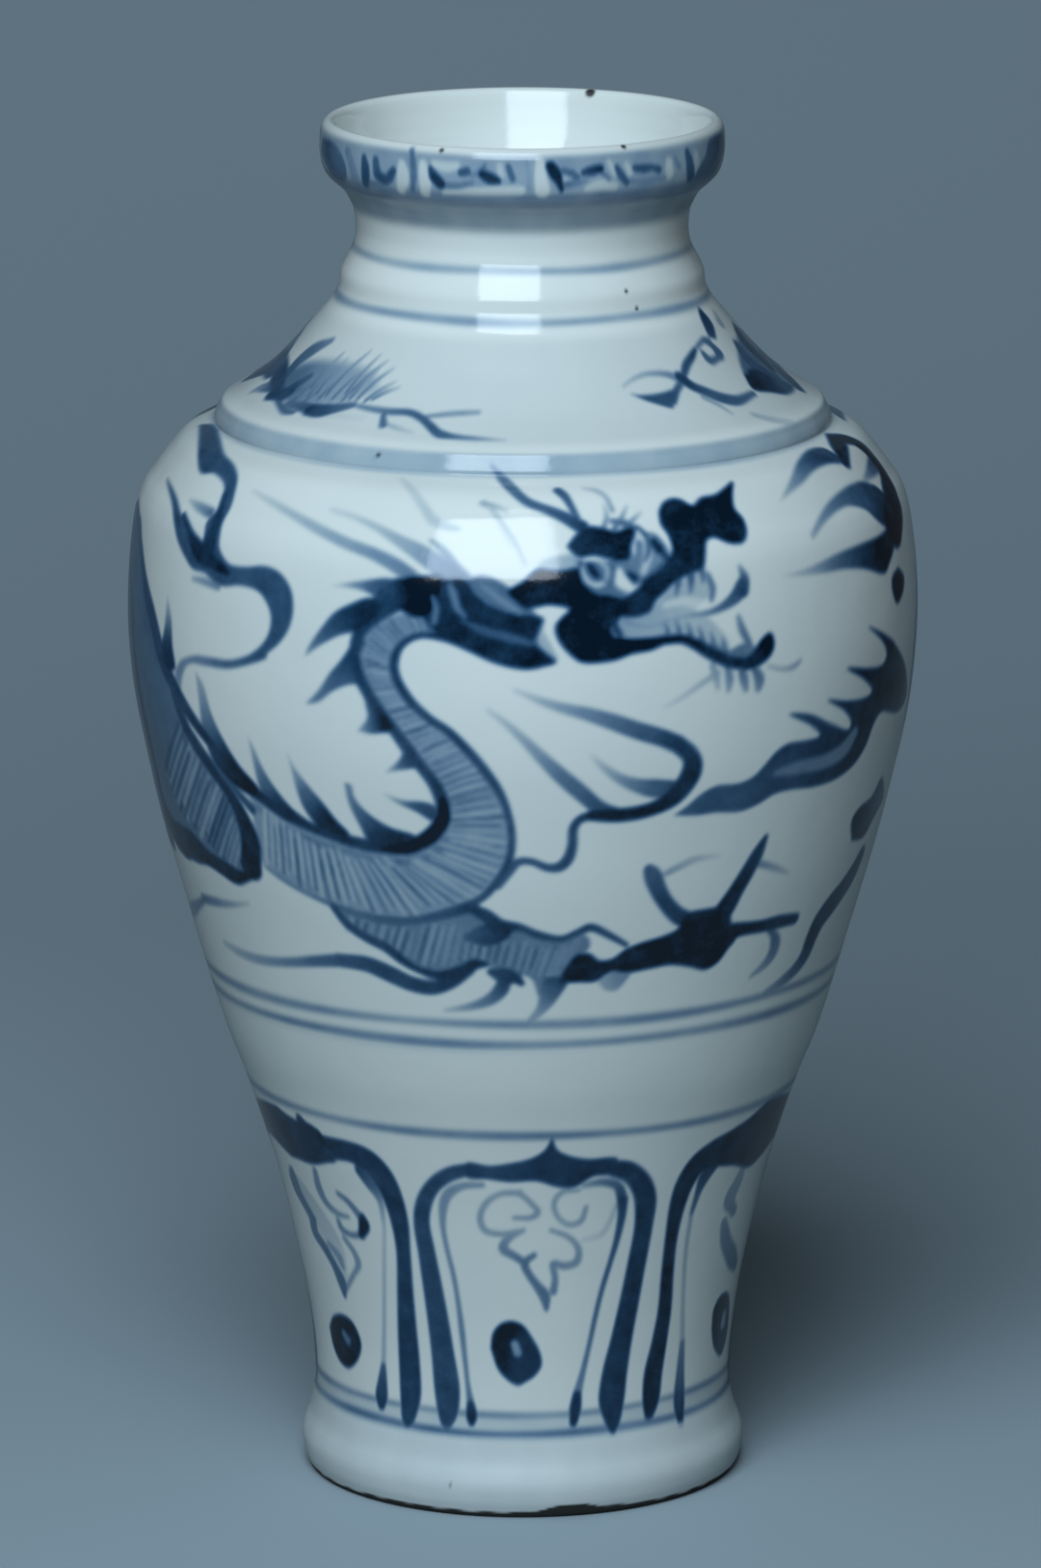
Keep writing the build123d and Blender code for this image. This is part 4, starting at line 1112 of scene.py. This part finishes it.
def paint_head_and_limbs():
    """The dragon's spines, head, legs and ribbons, and its flames."""
    paint_patches(SPINES + HEAD_WASHES, BOTH_SIDES)
    paint_strokes(HEAD_LIGHTS, BOTH_SIDES, lift=True)
    paint_patches(HEAD_PATCHES, BOTH_SIDES)
    paint_strokes(HEAD_LINES + PUPILS + BEARD, BOTH_SIDES)
    for x, y in LOWER_TEETH:
        tooth = [(x + right, y + down, width) for right, down, width in TOOTH]
        paint_strokes([(*TOOTH_TONES, tooth)], BOTH_SIDES)
    paint_patches(FORELEG + LEG + FLAMES, BOTH_SIDES)
    paint_strokes(FORELEG_LINES + RIBBONS + CLAWS + FLAME_LINES, BOTH_SIDES)
    paint_strokes(FLAME_LIGHTS, BOTH_SIDES, lift=True)


def paint_shoulder_plants():
    """Pine and knotted twigs on the shoulder."""
    paint_patches(PINE_WASH, BOTH_SIDES, soft=2.0)
    paint_patches(TWIG_SHADE, BOTH_SIDES, soft=1.0)
    for x0, y0, x1, y1 in PINE_NEEDLES:
        places = ((x0, y0), ((x0 + x1) / 2 - NEEDLE_BOW, (y0 + y1) / 2 - NEEDLE_BOW), (x1, y1))
        needle = [(x, y, width) for (x, y), width in zip(places, NEEDLE_WIDTHS)]
        paint_strokes([(*NEEDLE_TONES, needle)], BOTH_SIDES)
    paint_strokes(PINE_CORE + TWIGS, BOTH_SIDES)
    paint_patches(TWIG_PATCHES, BOTH_SIDES)


def paint_lip_band():
    """Marks on the band under the lip, and the gaps wiped between them."""
    paint_strokes(BAND_GAPS, BOTH_SIDES, lift=True)
    paint_strokes(BAND_MARKS, BOTH_SIDES)
    paint_patches(BAND_WASHES, BOTH_SIDES)


def paint_petals():
    """Six petals: four whole, and the two half seen with their hidden sides taken from the middle one."""
    paint_patches(PETAL_TOP, WHOLE_PETALS)
    paint_strokes(PETAL_SIDES + PETAL_LININGS + PETAL_SCROLLS, WHOLE_PETALS)
    paint_patches(PETAL_DOT, WHOLE_PETALS)
    paint_strokes(PETAL_DOT_LIGHT, WHOLE_PETALS, lift=True)
    paint_strokes(LEFT_PETAL + RIGHT_PETAL, FRONT_ONLY)
    paint_patches(LEFT_DOT + RIGHT_DOT, FRONT_ONLY)
    paint_strokes(LEFT_DOT_LIGHT + RIGHT_DOT_LIGHT, FRONT_ONLY, lift=True)
    paint_strokes(PETAL_SIDES[:1], (LEFT_PETAL_TURN,))
    paint_strokes(PETAL_SIDES[1:], (PETAL_TURN,))


def scatter_specks():
    """The iron specks, and the chip of the lip at the back."""
    x, y, sizes = zip(*SPECKS)
    for angle, arc, size in zip(*on_lattice(list(zip(x, y))), sizes):
        dot(angle, arc, size)
    degrees, past, size = LIP_CHIP
    dot(np.radians(degrees), outer_s[lip_index] + past, size)


for ring in RING_LINES:
    ring_line(*ring)
paint_coils()
paint_head_and_limbs()
paint_shoulder_plants()
for wash in RING_WASHES_AND_SHADES:
    wash_and_shade_between(*wash)
for shade_band in PAINTED_SHADES:
    painted_shade_between(*shade_band)
paint_lip_band()
paint_petals()
paint_strokes(GRIT, FRONT_ONLY)
soak()
scatter_specks()


# ---- Materials ----
MIX_SHARE, MIX_A, MIX_B, MIX_COLOR = 0, 6, 7, 2  # sockets of a mix node set to colours, and its output

GLAZE_STOPS = (
    (0.00, (0.690, 0.745, 0.710)),
    (0.15, (0.490, 0.575, 0.585)),
    (0.30, (0.310, 0.410, 0.470)),
    (0.45, (0.175, 0.270, 0.375)),
    (0.60, (0.082, 0.162, 0.252)),
    (0.75, (0.037, 0.096, 0.180)),
    (0.88, (0.010, 0.044, 0.096)),
    (1.00, (0.001, 0.008, 0.019)),
)
TINT_STOPS = ((0.3, (0.93, 0.95, 0.955)), (0.7, (1.0, 1.0, 1.0)))
# the dark of iron specks, also laid as painted shade and as painted contact shadow at the foot
IRON_AND_SHADE = (0.018, 0.020, 0.018)
CLAY = (0.52, 0.45, 0.37)
DARK_CLAY = tuple(0.72 * c for c in CLAY)
CLAY_STOPS = ((0.3, DARK_CLAY), (0.7, CLAY))

# Noise in the glaze: (scale, detail, roughness)
POOLING = (190, 4, 0.55)
GRAIN = (1200, 2, 0.6)
DRIFT = (22, 3, 0.5)
CLAY_GRAIN = (900, 5, 0.65)
SHEEN = (120, 3, 0.5)
RIPPLE = (75, 2, 0.4)
PITS = (700, 2, 0.5)

THINNEST, POOLED, GRAINED = 0.83, 0.28, 0.06  # strength of the cobalt, and what pooling and grain add
GLAZE_ROUGHNESS, SHEEN_ROUGHNESS = 0.075, 0.05
ADDED_ROUGHNESS = (("dull", 0.42), ("iron_and_shade", 0.4), ("bare", 0.6))
GLAZE_IOR = 1.5
PIT_DEPTH, CLAY_DEPTH = 0.10, 0.6  # against a ripple of 1
BUMP_STRENGTH, BUMP_DISTANCE = 0.35, 0.0004  # distance in m


def new_material(name):
    """A material, its node tree and its shader."""
    material = bpy.data.materials.new(name)
    material.use_nodes = True
    return material, material.node_tree, material.node_tree.nodes["Principled BSDF"]


def feed(tree, socket, value):
    """Sets a socket to a number or a colour, or links another node's output to it."""
    if isinstance(value, tuple):
        socket.default_value = (*value, 1)
    elif isinstance(value, (int, float)):
        socket.default_value = value
    else:
        tree.links.new(value, socket)


def noise(tree, place, scale, detail, roughness):
    """Noise at a place on the piece."""
    node = tree.nodes.new("ShaderNodeTexNoise")
    for label, value in (("Scale", scale), ("Detail", detail), ("Roughness", roughness), ("Vector", place)):
        feed(tree, node.inputs[label], value)
    return node.outputs["Fac"]


def math(tree, operation, *values, clamp=False):
    """Arithmetic on numbers and other nodes' outputs."""
    node = tree.nodes.new("ShaderNodeMath")
    node.operation = operation
    node.use_clamp = clamp
    for socket, value in zip(node.inputs, values):
        feed(tree, socket, value)
    return node.outputs[0]


def ramp(tree, value, stops):
    """Colours by a value, given as (value, colour)."""
    node = tree.nodes.new("ShaderNodeValToRGB")
    elements = node.color_ramp.elements
    while len(elements) < len(stops):
        elements.new(0.5)
    for element, (place, color) in zip(elements, stops):
        element.position = place
        element.color = (*color, 1)
    feed(tree, node.inputs["Fac"], value)
    return node.outputs["Color"]


def mixed(tree, share, a, b, blend="MIX"):
    """Two colours blended, with that share of the second."""
    node = tree.nodes.new("ShaderNodeMix")
    node.data_type = "RGBA"
    node.blend_type = blend
    for socket, value in ((MIX_SHARE, share), (MIX_A, a), (MIX_B, b)):
        feed(tree, node.inputs[socket], value)
    return node.outputs[MIX_COLOR]


def attribute(tree, name):
    """A value that the piece's points carry."""
    node = tree.nodes.new("ShaderNodeAttribute")
    node.attribute_name = name
    return node.outputs["Fac"]


def glaze_color(tree, place, clay_grain):
    """Cobalt under a bluish glaze, bare clay in the foot's well, and the dark of iron specks and painted
    shade over both.
    """
    strength = math(tree, "MULTIPLY_ADD", noise(tree, place, *POOLING), POOLED, THINNEST)
    strength = math(tree, "MULTIPLY_ADD", noise(tree, place, *GRAIN), GRAINED, strength)
    density = math(tree, "MULTIPLY", attribute(tree, "cobalt"), strength, clamp=True)
    tint = ramp(tree, noise(tree, place, *DRIFT), TINT_STOPS)
    glazed = mixed(tree, 1.0, ramp(tree, density, GLAZE_STOPS), tint, blend="MULTIPLY")
    body = mixed(tree, attribute(tree, "bare"), glazed, ramp(tree, clay_grain, CLAY_STOPS))
    return mixed(tree, attribute(tree, "iron_and_shade"), body, IRON_AND_SHADE)


def glaze_roughness(tree, place):
    """Glossy, and rougher where the glaze is dull, holds iron or painted shade, or is missing."""
    roughness = math(tree, "MULTIPLY_ADD", noise(tree, place, *SHEEN), SHEEN_ROUGHNESS, GLAZE_ROUGHNESS)
    for name, added in ADDED_ROUGHNESS:
        roughness = math(tree, "MULTIPLY_ADD", attribute(tree, name), added, roughness)
    return roughness


def glaze_bump(tree, place, clay_grain):
    """A ripple with fine pits, and the grain of the bare clay."""
    height = math(tree, "MULTIPLY_ADD", noise(tree, place, *PITS), PIT_DEPTH, noise(tree, place, *RIPPLE))
    clay_here = math(tree, "MULTIPLY", clay_grain, attribute(tree, "bare"))
    bump = tree.nodes.new("ShaderNodeBump")
    bump.inputs["Strength"].default_value = BUMP_STRENGTH
    bump.inputs["Distance"].default_value = BUMP_DISTANCE
    feed(tree, bump.inputs["Height"], math(tree, "MULTIPLY_ADD", clay_here, CLAY_DEPTH, height))
    return bump.outputs["Normal"]


def glaze_material():
    """Glossy bluish glaze over cobalt painting, with iron specks and painted shade, and bare clay in the
    foot's well.
    """
    material, tree, shader = new_material("glazed_porcelain")
    place = tree.nodes.new("ShaderNodeTexCoord").outputs["Object"]
    clay_grain = noise(tree, place, *CLAY_GRAIN)
    feed(tree, shader.inputs["Base Color"], glaze_color(tree, place, clay_grain))
    feed(tree, shader.inputs["Roughness"], glaze_roughness(tree, place))
    feed(tree, shader.inputs["Normal"], glaze_bump(tree, place, clay_grain))
    shader.inputs["IOR"].default_value = GLAZE_IOR
    return material


glaze = glaze_material()

# ---- The foot's rim: a ragged, grimy edge with one chip, darkened as painted contact shadow, and duller glaze above it ----
RIM_HEIGHT, RIM_WAVE, RIM_JAG, RIM_FADE = 1.6, 0.35, 0.12, 0.2
CHIP_HEIGHT = 1.3
CHIP_ANGLE, CHIP_SPREAD = 0.22, 0.12  # radians
DULL_BELOW, GLOSSY_ABOVE = 11, 19


def rim_grime_and_shadow():
    """How dark the skin is at the foot's rim, from 0 to 1: grime, and painted contact shadow."""
    edge = RIM_HEIGHT + RIM_WAVE * np.sin(columns * 5) * np.sin(columns * 2 + 1)
    edge += RIM_JAG * np.sin(columns * 41 + 2)
    edge += CHIP_HEIGHT * np.exp(-(((columns - CHIP_ANGLE) / CHIP_SPREAD) ** 2))
    return 1 - smooth_step(edge - RIM_FADE, edge + RIM_FADE, row_height[:, None])


# the foot's rim darkened: grime, and painted contact shadow where it stands on the floor
iron_and_shade = np.maximum(iron_and_shade, rim_grime_and_shadow())
bare = np.zeros_like(cobalt)  # the outside is glazed all over
dull = np.broadcast_to(1 - smooth_step(DULL_BELOW, GLOSSY_ABOVE, row_height[:, None]), cobalt.shape)

# ---- Skins of the thrown sections and their seams ----
UV_INNER_SHARE = 0.12  # the hidden inside takes little of the map
INSIDE_STEP, FEWEST_INSIDE = 3.0, 3  # mm between points of the inside, and how many there are at least


def ring_points(picked, tail):
    """Points in m and normals of a ring: its painted rows, then the tail round to the start."""
    outward = np.stack([np.sin(columns), -np.cos(columns), 0 * columns], axis=-1)
    up = np.array([0, 0, 1.0])
    lead = np.gradient(tail, axis=0)
    facing = np.column_stack([lead[:, 1], -lead[:, 0]]) / np.hypot(*lead.T)[:, None]
    tail_points, tail_normals = (
        flat[:, 0, None, None] * outward + flat[:, 1, None, None] * up for flat in (tail, facing)
    )
    points = surface(row_radius[picked, None], row_height[picked, None], columns)
    normals = skin_normals(rows[picked, None], columns)
    return np.concatenate([points, tail_points]) * MM, np.concatenate([normals, tail_normals])


def ring_mesh(name, points):
    """A mesh of squares between rows of points, closed both ways."""
    count, wide = points.shape[:2]
    mesh = bpy.data.meshes.new(name)
    mesh.vertices.add(count * wide)
    mesh.vertices.foreach_set("co", points.reshape(-1).astype(np.float32))
    i, j = np.meshgrid(np.arange(count), np.arange(wide), indexing="ij")
    i2, j2 = (i + 1) % count, (j + 1) % wide
    corners = np.stack([i * wide + j, i * wide + j2, i2 * wide + j2, i2 * wide + j], axis=-1)
    mesh.loops.add(corners.size)
    mesh.loops.foreach_set("vertex_index", corners.reshape(-1).astype(np.int32))
    mesh.polygons.add(count * wide)
    mesh.polygons.foreach_set("loop_start", np.arange(0, corners.size, 4, dtype=np.int32))
    mesh.polygons.foreach_set("use_smooth", np.ones(count * wide, bool))
    return mesh


def unwrap(mesh, section, painted):
    """Lays the ring on the map: angle across, and arc length up, narrowed past its painted rows."""
    gaps = np.hypot(*(np.roll(section, -1, 0) - section).T)
    gaps[painted:] *= UV_INNER_SHARE
    v = np.concatenate([[0], np.cumsum(gaps)])
    v /= v[-1]
    u = (np.append(columns, columns[0] + 2 * np.pi) + np.pi) / (2 * np.pi)
    i, j = np.meshgrid(np.arange(len(section)), np.arange(len(columns)), indexing="ij")
    corner_u = np.stack([u[j], u[j + 1], u[j + 1], u[j]], axis=-1)
    corner_v = np.stack([v[i], v[i], v[i + 1], v[i + 1]], axis=-1)
    layer = mesh.uv_layers.new(name="OFBake")
    layer.data.foreach_set("uv", np.stack([corner_u, corner_v], axis=-1).reshape(-1).astype(np.float32))


def record_paint(mesh, picked, tail_bare):
    """Gives each point its paint. The tail has none, and is bare clay as far as tail_bare says."""
    clean = np.zeros((len(tail_bare), len(columns)))
    worn = clean + np.array(tail_bare)[:, None]
    layers = (("cobalt", cobalt, clean), ("iron_and_shade", iron_and_shade, clean), ("bare", bare, worn), ("dull", dull, clean))
    for label, outside, inside in layers:
        values = np.concatenate([outside[picked], inside])
        data = mesh.attributes.new(label, "FLOAT", "POINT").data
        data.foreach_set("value", values.reshape(-1).astype(np.float32))


def closed_ring(node, first, last, tail, tail_bare):
    """The skin of a piece: painted rows from first to last, then tail points round to the start."""
    name = node + "_glazed"
    picked = slice(first, last + 1)
    points, normals = ring_points(picked, tail)
    mesh = ring_mesh(name, points)
    section = np.vstack([np.column_stack([row_radius[picked], row_height[picked]]), tail])
    unwrap(mesh, section, len(section) - len(tail))
    record_paint(mesh, picked, tail_bare)
    mesh.update()
    mesh.normals_split_custom_set_from_vertices(normals.reshape(-1, 3).astype(np.float32))
    piece = bpy.data.objects.new(name, mesh)
    bpy.context.collection.objects.link(piece)
    mesh.materials.append(glaze)
    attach(piece, "root")
    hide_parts(node)


def inner_points(start, stop):
    """The hollow's outline between two arc lengths, from the upper one down."""
    s = np.linspace(start, stop, max(FEWEST_INSIDE, int((stop - start) / INSIDE_STEP) + 1))
    return np.column_stack([np.interp(s, inner_s, inner[:, k]) for k in (0, 1)])


def row_of(s):
    """The skin's row nearest to an arc length."""
    return int(np.argmin(np.abs(rows - s)))


def skin_section(section, below, above):
    """The skin of a thrown section, between the seams below and above it, where there are any."""
    first = row_of(seam_outer[below][1]) if below else 0
    last = row_of(seam_outer[above][0]) if above else len(rows) - 1
    top = seam_inner[above][0] if above else 0.0
    bottom = seam_inner[below][1] if below else inner_s[-1]
    tail = inner_points(top, bottom)
    if above is None:
        tail = tail[1:]  # the painted rows already end there
    tail_bare = [0.0] * len(tail)
    if below is None:
        tail = np.vstack([tail, FOOT_WELL])
        tail_bare += [1.0] * len(FOOT_WELL)
    closed_ring(section, first, last, tail, tail_bare)


def skin_seam(seam):
    """The skin of a seam."""
    first, last = (row_of(s) for s in seam_outer[seam])
    tail = inner_points(seam_inner[seam][1], seam_inner[seam][0])
    closed_ring(seam, first, last, tail, [0.0] * len(tail))


seams = list(JOINTS)
for section, below, above in zip(SECTIONS, [None, *seams], [*seams, None]):
    skin_section(section, below, above)
for seam in seams:
    skin_seam(seam)

# The base's own solids get the glaze, and no skin
for name in ("base_disc", "base_slip"):
    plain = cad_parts[name].data
    plain.materials.clear()
    plain.materials.append(glaze)

# ---- Floor, backdrop and lamp, in m ----
PAPER = (0.305, 0.392, 0.437)
PAPER_ROUGHNESS = 0.9
BOUNCE = 0.60  # share of its light that the paper throws back
LAMP_COLOR = (0.76, 0.88, 1.0)
LAMP_PLACE, LAMP_SIZE = (-0.22, -1.06, 1.27), (0.88, 1.57)
LAMP_POWER = 29.8
LAMP_TILT = 72  # degrees up from facing straight down
ROOM_LIGHT = 0.05  # share of the lamp's colour
ROOM_SEEN = (0.105, 0.155, 0.190)


def stage_material():
    """Pale paper that throws less light back on the vase than it shows to the camera."""
    material, tree, shader = new_material("pale_paper")
    seen = tree.nodes.new("ShaderNodeLightPath").outputs["Is Camera Ray"]
    thrown = tuple(BOUNCE * c for c in PAPER)
    feed(tree, shader.inputs["Base Color"], mixed(tree, seen, thrown, PAPER))
    shader.inputs["Roughness"].default_value = PAPER_ROUGHNESS
    # the back of the sweep lets a camera behind it see the vase
    clear = tree.nodes.new("ShaderNodeBsdfTransparent").outputs["BSDF"]
    behind = tree.nodes.new("ShaderNodeNewGeometry").outputs["Backfacing"]
    either = tree.nodes.new("ShaderNodeMixShader")
    for socket, value in zip(either.inputs, (behind, shader.outputs["BSDF"], clear)):
        feed(tree, socket, value)
    feed(tree, tree.nodes["Material Output"].inputs["Surface"], either.outputs["Shader"])
    return material


def sweep():
    """A floor that curves up into a backdrop behind the vase."""
    half_width, front, back, top, bend, bend_points = 0.6, -1.2, 1.5, 2.5, 1.0, 24
    turn = np.linspace(0, np.pi / 2, bend_points)
    curve = [(back - bend + bend * np.sin(t), bend - bend * np.cos(t)) for t in turn]
    line = [(front, 0.0), *curve, (back, top)]
    mesh = bpy.data.meshes.new("floor")
    verts = [(x, y, z) for y, z in line for x in (-half_width, half_width)]
    faces = [(2 * k, 2 * k + 1, 2 * k + 3, 2 * k + 2) for k in range(len(line) - 1)]
    mesh.from_pydata(verts, [], faces)
    mesh.polygons.foreach_set("use_smooth", [True] * len(faces))
    mesh.materials.append(stage_material())
    floor = bpy.data.objects.new("floor", mesh)
    bpy.context.collection.objects.link(floor)


def studio_world():
    """A dim room, which looks like the paper where the camera sees past it."""
    world = bpy.data.worlds.new("studio")
    bpy.context.scene.world = world
    world.use_nodes = True
    tree = world.node_tree
    seen = tree.nodes.new("ShaderNodeLightPath").outputs["Is Camera Ray"]
    dim = tuple(ROOM_LIGHT * c for c in LAMP_COLOR)
    feed(tree, tree.nodes["Background"].inputs["Color"], mixed(tree, seen, dim, ROOM_SEEN))


def softbox():
    """The one lamp: a rectangle before the vase and above it."""
    lamp = bpy.data.lights.new("key", "AREA")
    lamp.shape = "RECTANGLE"
    lamp.size, lamp.size_y = LAMP_SIZE
    lamp.energy = LAMP_POWER
    lamp.color = LAMP_COLOR
    item = bpy.data.objects.new("key", lamp)
    item.location = LAMP_PLACE
    item.rotation_euler = (np.radians(LAMP_TILT), 0, 0)
    bpy.context.collection.objects.link(item)


sweep()
studio_world()
softbox()
bpy.context.scene.view_settings.view_transform = "Standard"
